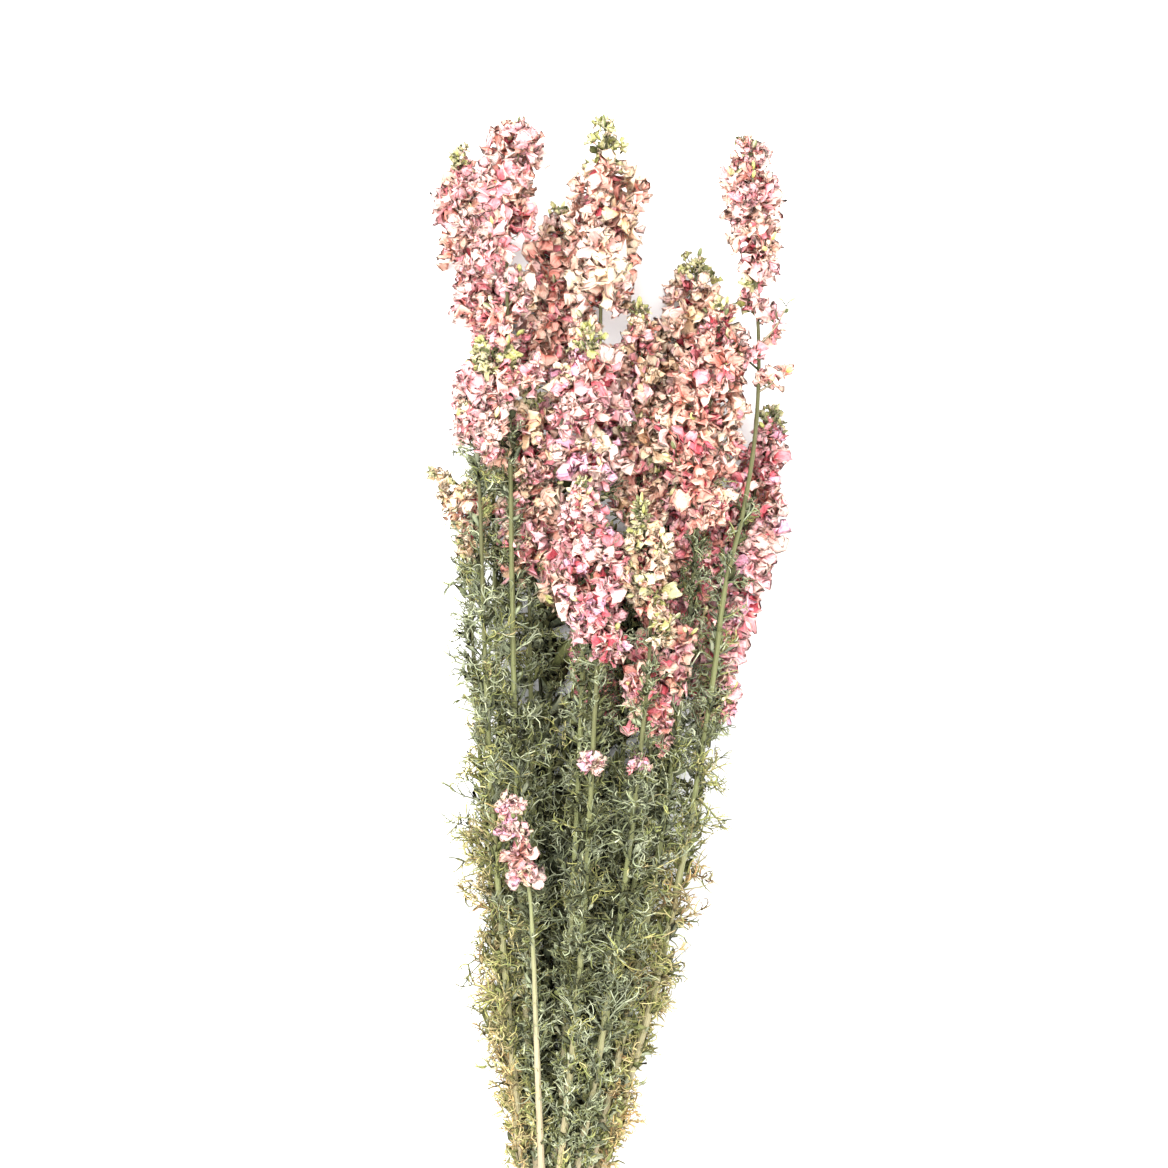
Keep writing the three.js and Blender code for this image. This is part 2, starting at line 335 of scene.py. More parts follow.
class Wire:
    """A socket's output that takes part in Python sums, which add Math nodes as they go."""

    def __init__(self, kit: NodeKit, socket: bpy.types.NodeSocket) -> None:
        """Keeps the socket and the material it belongs to."""
        self.kit = kit
        self.socket = socket

    def _math(self, operation: str, *values: Wire | float) -> Wire:
        """Adds one Math node.

        Args:
            operation: The node's operation.
            values: Its inputs, in order.

        Returns:
            Its result.
        """
        sockets = dict(enumerate(values))
        return self.kit.out(self.kit.add("ShaderNodeMath", {"operation": operation}, sockets), 0)

    def __add__(self, other: Wire | float) -> Wire:
        """Self plus other."""
        return self._math("ADD", self, other)

    def __radd__(self, other: float) -> Wire:
        """Other plus self."""
        return self._math("ADD", other, self)

    def __sub__(self, other: Wire | float) -> Wire:
        """Self minus other."""
        return self._math("SUBTRACT", self, other)

    def __rsub__(self, other: float) -> Wire:
        """Other minus self."""
        return self._math("SUBTRACT", other, self)

    def __mul__(self, other: Wire | float) -> Wire:
        """Self times other."""
        return self._math("MULTIPLY", self, other)

    def __rmul__(self, other: float) -> Wire:
        """Other times self."""
        return self._math("MULTIPLY", other, self)

    def __truediv__(self, other: Wire | float) -> Wire:
        """Self divided by other."""
        return self._math("DIVIDE", self, other)

    def size(self) -> Wire:
        """Self without its sign."""
        return self._math("ABSOLUTE", self)

    def rest(self) -> Wire:
        """What is left of self above the whole number below it."""
        return self._math("FRACT", self)

    def whole(self) -> Wire:
        """The whole number below self."""
        return self._math("FLOOR", self)

    def sine(self) -> Wire:
        """The sine of self."""
        return self._math("SINE", self)

    def ramped(self, low: float, high: float) -> Wire:
        """Rises smoothly from 0 at low to 1 at high.

        Args:
            low: The value where the rise starts.
            high: The value where it ends.

        Returns:
            The share, from 0 to 1.
        """
        settings = {"interpolation_type": "SMOOTHSTEP"}
        sockets = {"Value": self, "From Min": low, "From Max": high}
        return self.kit.out(self.kit.add("ShaderNodeMapRange", settings, sockets), "Result")


def linear(red: int, green: int, blue: int) -> tuple[float, float, float, float]:
    """A colour as light: each channel out of 255 follows the sRGB curve, a power of 2.4 above its foot.

    Args:
        red: From 0 to 255.
        green: From 0 to 255.
        blue: From 0 to 255.

    Returns:
        Red, green, blue and an alpha of one.
    """
    share = np.array([red, green, blue]) / 255.0
    light = np.where(share <= 0.04045, share / 12.92, ((share + 0.055) / 1.055) ** 2.4)
    return (*light.tolist(), 1.0)


def mean_colour(*colours: tuple[int, int, int]) -> tuple[float, float, float, float]:
    """The mean of some colours, as light."""
    return linear(*np.mean(colours, axis=0))


class NodeKit:
    """One material and the nodes that are added to it."""

    def __init__(self, name: str) -> None:
        """Starts an empty node material.

        Args:
            name: The material's name.
        """
        self.material = bpy.data.materials.new(name)
        self.material.use_nodes = True
        self.tree = self.material.node_tree
        self.tree.nodes.clear()

    def add(self, kind: str, settings: dict, sockets: dict) -> bpy.types.Node:
        """Adds any node.

        Args:
            kind: The node's type.
            settings: Its own settings, set first. "stops" is a ramp's list of (place, colour).
            sockets: The value or the Wire of each input, by name or by number.

        Returns:
            The node.
        """
        node = self.tree.nodes.new(kind)
        for key, value in settings.items():
            if key == "stops":
                self._set_stops(node.color_ramp, value)
            elif key == "ramp":
                node.color_ramp.interpolation = value
            else:
                setattr(node, key, value)
        for key, value in sockets.items():
            if isinstance(value, Wire):
                self.tree.links.new(value.socket, node.inputs[key])
            else:
                node.inputs[key].default_value = value
        return node

    @staticmethod
    def _set_stops(ramp: bpy.types.ColorRamp, stops: list[tuple[float, tuple]]) -> None:
        """Gives a ramp its stops.

        Args:
            ramp: A new ramp, which has two stops.
            stops: A place from 0 to 1 and a colour for each.
        """
        ramp.elements.remove(ramp.elements[1])
        ramp.elements[0].position = stops[0][0]
        ramp.elements[0].color = stops[0][1]
        for place, colour in stops[1:]:
            ramp.elements.new(place).color = colour

    def out(self, node: bpy.types.Node, socket: str | int) -> Wire:
        """One output of a node, ready for sums."""
        return Wire(self, node.outputs[socket])

    def uv(self) -> tuple[Wire, Wire, Wire]:
        """The piece's own map.

        Returns:
            The place as a vector, and its two numbers.
        """
        place = self.out(self.add("ShaderNodeUVMap", {"uv_map": UV_NAME}, {}), "UV")
        parts = self.add("ShaderNodeSeparateXYZ", {}, {"Vector": place})
        return place, self.out(parts, "X"), self.out(parts, "Y")

    def ramp(self, share: Wire, stops: list[tuple[float, tuple]], ramp: str = "LINEAR") -> Wire:
        """A colour picked along a ramp.

        Args:
            share: Where on the ramp, from 0 to 1.
            stops: A place and a colour for each stop.
            ramp: How it goes from stop to stop.

        Returns:
            The colour.
        """
        node = self.add("ShaderNodeValToRGB", {"ramp": ramp, "stops": stops}, {"Fac": share})
        return self.out(node, "Color")

    def mix(self, share: Wire | float, low: Wire | tuple, high: Wire | tuple, blend: str = "MIX") -> Wire:
        """Mixes two colours.

        Args:
            share: How much of the second.
            low: The first colour.
            high: The second colour.
            blend: How they are mixed.

        Returns:
            The mixed colour.
        """
        settings = {"data_type": "RGBA", "blend_type": blend}
        return self.out(self.add("ShaderNodeMix", settings, {0: share, 6: low, 7: high}), 2)

    def shade(self, colour: Wire, factor: Wire) -> Wire:
        """Makes a colour lighter or darker by a factor.

        Args:
            colour: The colour.
            factor: What its red, green and blue are multiplied by.

        Returns:
            The new colour.
        """
        node = self.add("ShaderNodeVectorMath", {"operation": "SCALE"}, {0: colour, "Scale": factor})
        return self.out(node, 0)

    def noise(self, place: Wire, stretch: tuple[float, float, float], detail: float = 2.0) -> Wire:
        """Cloudy noise.

        Args:
            place: Where to read it.
            stretch: How many clouds there are along each axis.
            detail: How many finer layers it has.

        Returns:
            A number around one half.
        """
        wide = self.add("ShaderNodeVectorMath", {"operation": "MULTIPLY"}, {0: place, 1: stretch})
        sockets = {"Vector": self.out(wide, 0), "Scale": 1.0, "Detail": detail}
        return self.out(self.add("ShaderNodeTexNoise", {}, sockets), 0)

    def bump(self, height: Wire, depth: float, strength: float) -> Wire:
        """Turns a height into a normal.

        Args:
            height: The height, about 0 to 1.
            depth: How deep a height of one is, in metres.
            strength: How much of it shows.

        Returns:
            The normal.
        """
        sockets = {"Strength": strength, "Distance": depth, "Height": height}
        return self.out(self.add("ShaderNodeBump", {}, sockets), "Normal")

    def principled(self, sockets: dict) -> Wire:
        """The everyday shader, with the inputs given by name."""
        return self.out(self.add("ShaderNodeBsdfPrincipled", {}, sockets), 0)

    def finish(self, shader: Wire) -> bpy.types.Material:
        """Sends a shader to the output.

        Args:
            shader: The finished shader.

        Returns:
            The material.
        """
        self.add("ShaderNodeOutputMaterial", {}, {"Surface": shader})
        return self.material


# ---- finishes ----


class Petal(Enum):
    """The colours of flowers, buds and bracts, in the order of their columns in the petals' map."""

    OLIVE = (104, 108, 66)
    LIME = (204, 204, 132)
    PALE_GREEN = (232, 228, 178)
    CREAM = (255, 234, 208)
    BEIGE = (246, 214, 178)
    PEACH = (255, 214, 194)
    SALMON = (255, 188, 172)
    DUSTY = (238, 176, 158)
    BLUSH = (255, 220, 212)
    PINK = (255, 198, 202)
    ROSE = (250, 162, 170)
    DEEP = (230, 112, 124)
    LILAC = (252, 196, 216)
    MAUVE = (242, 176, 184)
    BROWN = (126, 98, 62)
    BRACT = (134, 142, 96)


class Leaf(Enum):
    """The colours of dried leaf threads, in the order of their columns in the leaves' map."""

    SHADE = (76, 78, 44)
    MOSS = (108, 112, 66)
    SAGE = (140, 147, 108)
    GREY_GREEN = (166, 175, 140)
    SILVER = (200, 206, 172)
    GREEN = (150, 157, 96)
    YELLOW_GREEN = (186, 184, 112)
    STRAW = (214, 202, 142)
    SAND = (216, 196, 146)
    OCHRE = (212, 180, 120)
    RUST = (184, 144, 100)
    EARTH = (140, 112, 78)


@dataclass(frozen=True)
class Atlas:
    """A map of columns, one for each colour, and rows, from dark to light, that small shapes share."""

    columns: int
    rows: int
    inset: float = 0.12

    def place(self, spots: Array, column: Array, row: Array) -> Array:
        """Puts spots of a shape into one tile of the map, clear of its edges.

        Args:
            spots: Numbers from 0 to 1, across and along the shape, in the last axis.
            column: The tile's column.
            row: The tile's row.

        Returns:
            Places in the whole map.
        """
        inner = self.inset + spots * (1.0 - 2.0 * self.inset)
        across = (column + inner[..., 0]) / self.columns
        along = (row + inner[..., 1]) / self.rows
        return np.stack([across, along], axis=-1)

    def read(self, kit: NodeKit) -> tuple[Wire, Wire, Wire, Wire, Wire]:
        """The shader's side of the map.

        Args:
            kit: The material.

        Returns:
            The place, the column as a share of the map, the row from 0 to 1, and the spot across and along.
        """
        place, u, v = kit.uv()
        within = 1.0 - 2.0 * self.inset
        across = ((u * self.columns).rest() - self.inset) / within
        along = ((v * self.rows).rest() - self.inset) / within
        row = (v * self.rows).whole() / max(1, self.rows - 1)
        return place, u, row, across, along

    def stops(self, colours: type[Enum]) -> list[tuple[float, tuple]]:
        """A constant ramp's stops, one at the start of each column."""
        return [(i / self.columns, linear(*colour.value)) for i, colour in enumerate(colours)]


PETAL_ATLAS = Atlas(columns=len(Petal), rows=6)
LEAF_ATLAS = Atlas(columns=len(Leaf), rows=4)


@dataclass(frozen=True)
class PetalFinish:
    """Dry crumpled petal: deeper at its base as painted shade, pale at its rim, veined, and letting some
    light through.
    """

    roughness: float = 0.62
    gloss: float = 0.3
    relief: float = 0.0008
    see_through: float = 0.16
    darkest: float = 0.9
    lightest: float = 1.13
    veins: float = 5.0

    def material(self) -> bpy.types.Material:
        """Builds the petals' material.

        Returns:
            The material.
        """
        kit = NodeKit("dried_petals")
        place, column, row, across, along = PETAL_ATLAS.read(kit)
        colour = kit.ramp(column, PETAL_ATLAS.stops(Petal), "CONSTANT")
        rim = (across * 2.0 - 1.0).size()
        clouds = kit.noise(place, (46.0, 40.0, 1.0), detail=3.0)
        streaks = kit.noise(place, (190.0, 16.0, 1.0), detail=2.0)
        # The deeper colour goes into cloudy blotches and along each petal's middle as its own colour, and
        # towards its base as painted shade.
        deep = kit.mix(0.85, colour, kit.mix(1.0, colour, colour, "MULTIPLY"))
        heart = (1.0 - rim).ramped(0.3, 1.0) * 0.45
        # Painted shade: deeper towards the petal's base, where the flower's heart lies in shade.
        base = (1.0 - along).ramped(0.38, 0.95) * 0.75
        colour = kit.mix(clouds.ramped(0.48, 0.7) * 0.45 + heart * streaks * 0.8 + base, colour, deep)
        pale = kit.mix(0.8, colour, linear(*Petal.CREAM.value))
        edge = rim.ramped(0.66, 0.96) * 0.65 + along.ramped(0.86, 1.0) * 0.45
        colour = kit.mix(edge, colour, pale)
        vein = ((across + streaks * 0.1) * (TAU * self.veins)).sine() * 0.5 + 0.5
        tone = row * (self.lightest - self.darkest) + self.darkest
        tone = tone - vein.ramped(0.45, 1.0) * 0.09 - streaks.ramped(0.5, 0.8) * 0.12
        colour = kit.shade(colour, tone)
        normal = kit.bump(vein * 0.5 + clouds + streaks, self.relief, 0.85)
        sockets = {
            "Base Color": colour,
            "Roughness": self.roughness,
            "Specular IOR Level": self.gloss,
            "Normal": normal,
        }
        face = kit.principled(sockets)
        glow = kit.out(kit.add("ShaderNodeBsdfTranslucent", {}, {"Color": colour, "Normal": normal}), 0)
        both = kit.add("ShaderNodeMixShader", {}, {0: self.see_through, 1: face, 2: glow})
        return kit.finish(kit.out(both, 0))


@dataclass(frozen=True)
class LeafFinish:
    """Dry leaf thread: matte, darker at its base as painted shade, bleached towards its tip."""

    roughness: float = 0.8
    gloss: float = 0.25
    relief: float = 0.0003
    darkest: float = 0.34
    lightest: float = 0.98

    def material(self) -> bpy.types.Material:
        """Builds the leaves' material.

        Returns:
            The material.
        """
        kit = NodeKit("dried_leaf_threads")
        place, column, row, across, along = LEAF_ATLAS.read(kit)
        colour = kit.ramp(column, LEAF_ATLAS.stops(Leaf), "CONSTANT")
        clouds = kit.noise(place, (60.0, 34.0, 1.0), detail=3.0)
        bleached = kit.mix(0.5, colour, linear(*Leaf.STRAW.value))
        colour = kit.mix(along.ramped(0.55, 1.0) * 0.45 + clouds.ramped(0.5, 0.8) * 0.25, colour, bleached)
        tone = row * (self.lightest - self.darkest) + self.darkest
        # Darker towards each thread's base, where it joins its plume: painted shade. The cloudy darkening is
        # the leaves' own.
        tone = tone - (1.0 - along).ramped(0.6, 1.0) * 0.16 - clouds.ramped(0.2, 0.5) * 0.08
        colour = kit.shade(colour, tone)
        rib = (across * TAU * 3.0).sine()
        sockets = {
            "Base Color": colour,
            "Roughness": self.roughness,
            "Specular IOR Level": self.gloss,
            "Normal": kit.bump(rib * 0.3 + clouds, self.relief, 0.5),
        }
        return kit.finish(kit.principled(sockets))


@dataclass(frozen=True)
class StemFinish:
    """Dry ribbed stem: grey beige at its foot, and at its tip olive, or still beige on a thick one."""

    roughness: float = 0.66
    gloss: float = 0.35
    relief: float = 0.0005
    ribs: int = 9
    foot: tuple[int, int, int] = (170, 154, 126)
    middle: tuple[int, int, int] = (126, 131, 86)
    tip: tuple[int, int, int] = (78, 76, 46)
    scar: tuple[int, int, int] = (92, 74, 50)

    def material(self, name: str) -> bpy.types.Material:
        """Builds the stems' material.

        Args:
            name: The material's name.

        Returns:
            The material.
        """
        kit = NodeKit(name)
        place, around, along = kit.uv()
        stops = [
            (0.0, linear(*self.foot)),
            (0.2, mean_colour(self.foot, self.foot, self.middle)),
            (0.45, linear(*self.middle)),
            (0.75, mean_colour(self.middle, self.tip, self.tip)),
            (1.0, linear(*self.tip)),
        ]
        streaks = kit.noise(place, (26.0, 60.0, 1.0), detail=4.0)
        patches = kit.noise(place, (3.0, 26.0, 1.0), detail=3.0)
        colour = kit.ramp(along + (patches - 0.5) * 0.35, stops)
        rib = (around * (TAU * self.ribs)).sine() * 0.5 + 0.5
        scar = kit.mix(0.6, colour, linear(*self.scar))
        colour = kit.mix(streaks.ramped(0.56, 0.78) * 0.6, colour, scar)
        # The rib term darkens the grooves and lightens the crests along with the bump: painted shade and
        # highlight. The patches are the stem's own.
        colour = kit.shade(colour, 0.86 + rib * 0.16 + (patches - 0.5) * 0.3)
        sockets = {
            "Base Color": colour,
            "Roughness": streaks * 0.2 + (self.roughness - 0.1),
            "Specular IOR Level": self.gloss,
            "Normal": kit.bump(rib * 0.7 + streaks * 0.5, self.relief, 0.8),
        }
        return kit.finish(kit.principled(sockets))


@dataclass(frozen=True)
class RubberFinish:
    """Plain natural rubber band: tan, slightly cloudy, with a soft gloss."""

    roughness: float = 0.48
    relief: float = 0.0002
    light: tuple[int, int, int] = (196, 158, 104)
    dark: tuple[int, int, int] = (172, 128, 76)

    def material(self) -> bpy.types.Material:
        """Builds the band's material.

        Returns:
            The material.
        """
        kit = NodeKit("natural_rubber")
        place = kit.uv()[0]
        clouds = kit.noise(place, (5.0, 40.0, 1.0), detail=4.0)
        grain = kit.noise(place, (40.0, 400.0, 1.0), detail=2.0)
        colour = kit.mix(clouds.ramped(0.35, 0.7), linear(*self.light), linear(*self.dark))
        colour = kit.shade(colour, grain * 0.14 + 0.93)
        sockets = {
            "Base Color": colour,
            "Roughness": clouds * 0.18 + (self.roughness - 0.09),
            "Normal": kit.bump(grain, self.relief, 0.4),
        }
        return kit.finish(kit.principled(sockets))


@dataclass(frozen=True)
class TableFinish:
    """The pale table top."""

    white: float = 0.86
    roughness: float = 0.9
    gloss: float = 0.1

    def material(self) -> bpy.types.Material:
        """Builds the table's material.

        Returns:
            The material.
        """
        kit = NodeKit("pale_table")
        colour = (self.white, self.white * 1.004, self.white * 1.01, 1.0)
        sockets = {"Base Color": colour, "Roughness": self.roughness, "Specular IOR Level": self.gloss}
        return kit.finish(kit.principled(sockets))


# ---- small closed shapes, many at a time ----


def corner_spots(corners: list[tuple[Array, Array]]) -> Array:
    """Puts the corners' spots of many faces side by side.

    Args:
        corners: For each corner its numbers across and along, one for each face.

    Returns:
        The spots, as (faces, corners, 2).
    """
    return np.stack([np.stack(corner, -1) for corner in corners], axis=-2).reshape(-1, len(corners), 2)


def quads_between(near: Array, far: Array, side: Array, after: Array) -> Array:
    """Faces with four corners, each one between two rings and two sides.

    Args:
        near: The number of the first point of each face's nearer ring.
        far: That of its further ring.
        side: The face's side.
        after: The side after it.

    Returns:
        The faces, as (faces, 4).
    """
    return np.stack([near + side, near + after, far + after, far + side], axis=-1).reshape(-1, 4)


@dataclass(frozen=True)
class Net:
    """How the points of one small closed shape join into faces, and each corner's spot on its tile."""

    quads: Array
    quad_spots: Array
    tris: Array = field(default_factory=lambda: np.zeros((0, 3), int))
    tri_spots: Array = field(default_factory=lambda: np.zeros((0, 3, 2)))

    @classmethod
    def of_tube(cls, rings: int, sides: int) -> Net:
        """A tube whose rings are points 0 to sides - 1, and so on, with its ends closed by fans.

        Args:
            rings: How many rings it has.
            sides: How many corners each ring has.

        Returns:
            The net, whose faces look outwards where a ring runs right-handed about the tube's direction.
        """
        ring, side = np.meshgrid(np.arange(rings - 1), np.arange(sides), indexing="ij")
        after = (side + 1) % sides
        quads = quads_between(ring * sides, (ring + 1) * sides, side, after)
        left, right = side / sides, (side + 1) / sides
        low, high = ring / (rings - 1), (ring + 1) / (rings - 1)
        spots = corner_spots([(left, low), (right, low), (right, high), (left, high)])
        fan = np.stack([np.zeros(sides - 2, int), np.arange(1, sides - 1), np.arange(2, sides)], axis=-1)
        tris = np.concatenate([fan[:, ::-1], fan + (rings - 1) * sides])
        start = np.array([[0.4, 0.0], [0.6, 0.0], [0.5, 0.05]])
        end = np.array([[0.4, 0.95], [0.6, 0.95], [0.5, 1.0]])
        tri_spots = np.concatenate([np.repeat(cap[None], sides - 2, 0) for cap in (start, end)])
        return cls(quads, spots, tris, tri_spots)

    @classmethod
    def of_shell(cls, long: int, wide: int) -> Net:
        """A thin shell: a front of long by wide faces and a back that shares the front's rim.

        The front's points come first, row by row, then the back's inner points, row by row.

        Args:
            long: Faces along the shell.
            wide: Faces across it.

        Returns:
            The net.
        """
        front = np.arange((long + 1) * (wide + 1)).reshape(long + 1, wide + 1)
        back = front.copy()
        back[1:-1, 1:-1] = front.size + np.arange((long - 1) * (wide - 1)).reshape(long - 1, wide - 1)
        i, j = np.meshgrid(np.arange(long), np.arange(wide), indexing="ij")
        i, j = i.ravel(), j.ravel()
        corners = [(i, j), (i + 1, j), (i + 1, j + 1), (i, j + 1)]
        seen = np.stack([front[c] for c in corners], axis=-1)
        unseen = np.stack([back[c] for c in corners], axis=-1)[:, ::-1]
        spots = corner_spots([(b / wide, a / long) for a, b in corners])
        return cls(np.concatenate([seen, unseen]), np.concatenate([spots, spots[:, ::-1]]))


class Heap:
    """Gathers small closed shapes, all as arrays, and turns them into one mesh."""

    def __init__(self, atlas: Atlas) -> None:
        """Starts empty.

        Args:
            atlas: The map that the shapes share.
        """
        self.atlas = atlas
        self.count = 0
        self.points: list[Array] = []
        self.quads: list[Array] = []
        self.quad_places: list[Array] = []
        self.tris: list[Array] = []
        self.tri_places: list[Array] = []

    def add(self, points: Array, net: Net, column: Array, row: Array) -> None:
        """Adds many shapes of one kind.

        Args:
            points: Their points, as (shapes, points, 3).
            net: How the points of each one join.
            column: Each shape's column in the map.
            row: Each shape's row in the map.
        """
        shapes, size = points.shape[:2]
        start = (self.count + np.arange(shapes) * size)[:, None, None]
        self.count += shapes * size
        self.points.append(points.reshape(-1, 3))
        tile = (np.asarray(column)[:, None, None], np.asarray(row)[:, None, None])
        self.quads.append((net.quads[None] + start).reshape(-1, 4))
        self.quad_places.append(self.atlas.place(net.quad_spots[None], *tile).reshape(-1, 2))
        self.tris.append((net.tris[None] + start).reshape(-1, 3))
        self.tri_places.append(self.atlas.place(net.tri_spots[None], *tile).reshape(-1, 2))

    def add_tubes(
        self, path: Array, radius: Array | float, flat: Array, sides: int, column: Array | int, row: Array
    ) -> None:
        """Adds many tubes with the same number of rings.

        Args:
            path: Their paths, as (tubes, rings, 3).
            radius: Their radius, at each ring or one for all.
            flat: For each tube a direction that its path never runs along.
            sides: Corners in a ring.
            column: Each tube's column in the map, or one for all.
            row: Each tube's row in the map.
        """
        tubes, rings = path.shape[:2]
        points = tube_points(path, np.broadcast_to(radius, (tubes, rings)), flat, sides)
        self.add(points, Net.of_tube(rings, sides), np.broadcast_to(column, tubes), row)

    def piece(self, name: str, material: bpy.types.Material, softness: float) -> bpy.types.Object:
        """Makes the gathered shapes one object, pressed onto the table where they would sink below it.

        Args:
            name: The object's name.
            material: Its material.
            softness: How softly it meets the table.

        Returns:
            The object.
        """
        points = lay_on_table(np.concatenate(self.points), softness)
        quads, tris = np.concatenate(self.quads), np.concatenate(self.tris)
        places = np.concatenate(self.quad_places + self.tri_places)
        return make_object(name, points, quads, tris, places, material)


def make_object(
    name: str, points: Array, quads: Array, tris: Array, places: Array, material: bpy.types.Material
) -> bpy.types.Object:
    """Puts arrays of points, faces and map places into a new object.

    Args:
        name: The object's name.
        points: Its points, as (points, 3).
        quads: Faces with four corners, as (faces, 4).
        tris: Faces with three corners, as (faces, 3).
        places: The map place of each corner, the quads' corners first.
        material: Its material.

    Returns:
        The object, linked into the scene.
    """
    mesh = bpy.data.meshes.new(name)
    corners = np.concatenate([quads.ravel(), tris.ravel()])
    sizes = np.concatenate([np.full(len(quads), 4), np.full(len(tris), 3)])
    starts = np.concatenate([[0], np.cumsum(sizes)[:-1]])
    mesh.vertices.add(len(points))
    mesh.vertices.foreach_set("co", points.ravel())
    mesh.loops.add(len(corners))
    mesh.loops.foreach_set("vertex_index", corners)
    mesh.polygons.add(len(sizes))
    mesh.polygons.foreach_set("loop_start", starts)
    mesh.polygons.foreach_set("loop_total", sizes)
    mesh.polygons.foreach_set("use_smooth", np.ones(len(sizes), bool))
    mesh.update(calc_edges=True)
    layer = mesh.uv_layers.new(name=UV_NAME)
    layer.data.foreach_set("uv", places.ravel())
    mesh.materials.append(material)
    made = bpy.data.objects.new(name, mesh)
    bpy.context.scene.collection.objects.link(made)
    return made


def tube_points(path: Array, radius: Array, flat: Array, sides: int) -> Array:
    """Carries a ring along each path: path + radius * (cos a * first + sin a * (direction x first)).

    First is the flat direction, made square to the path.

    Args:
        path: The paths, as (tubes, rings, 3).
        radius: The radius at each ring, as (tubes, rings).
        flat: For each tube a direction that its path never runs along, as (tubes, 3).
        sides: Corners in a ring.

    Returns:
        The rings' points, as (tubes, rings * sides, 3).
    """
    direction = unit(np.gradient(path, axis=1))
    first = square_to(flat[:, None, :], direction)
    second = np.cross(direction, first)
    angle = TAU * np.arange(sides) / sides
    around = (
        first[:, :, None, :] * np.cos(angle)[None, None, :, None]
        + second[:, :, None, :] * np.sin(angle)[None, None, :, None]
    )
    rings = path[:, :, None, :] + around * radius[:, :, None, None]
    return rings.reshape(len(path), -1, 3)


def curled_paths(
    start: Array, heading: Array, bend_towards: Array, length: Array, curl: Array, hook: Array, steps: int
) -> Array:
    """Paths that turn in one plane: after a share t of its length a path has turned by curl t + hook t^3.

    Args:
        start: Where each begins, as (paths, 3).
        heading: The unit direction in which each sets off.
        bend_towards: A unit direction across the heading, towards which a positive turn goes.
        length: Each path's length.
        curl: Even turning, in radians.
        hook: Turning that is gathered near the tip, in radians.
        steps: Straight steps in each path.

    Returns:
        The paths' points, as (paths, steps + 1, 3).
    """
    t = (np.arange(steps) + 0.5) / steps
    turn = curl[:, None] * t + hook[:, None] * t**3
    way = np.cos(turn)[..., None] * heading[:, None] + np.sin(turn)[..., None] * bend_towards[:, None]
    walked = np.cumsum(way * (length / steps)[:, None, None], axis=1)
    return np.concatenate([start[:, None], start[:, None] + walked], axis=1)


def across_of(heading: Array, rng: np.random.Generator) -> Array:
    """A random unit direction across each heading.

    Args:
        heading: Unit vectors.
        rng: The source of chance.

    Returns:
        Unit vectors square to them.
    """
    return square_to(rng.normal(size=heading.shape), heading)


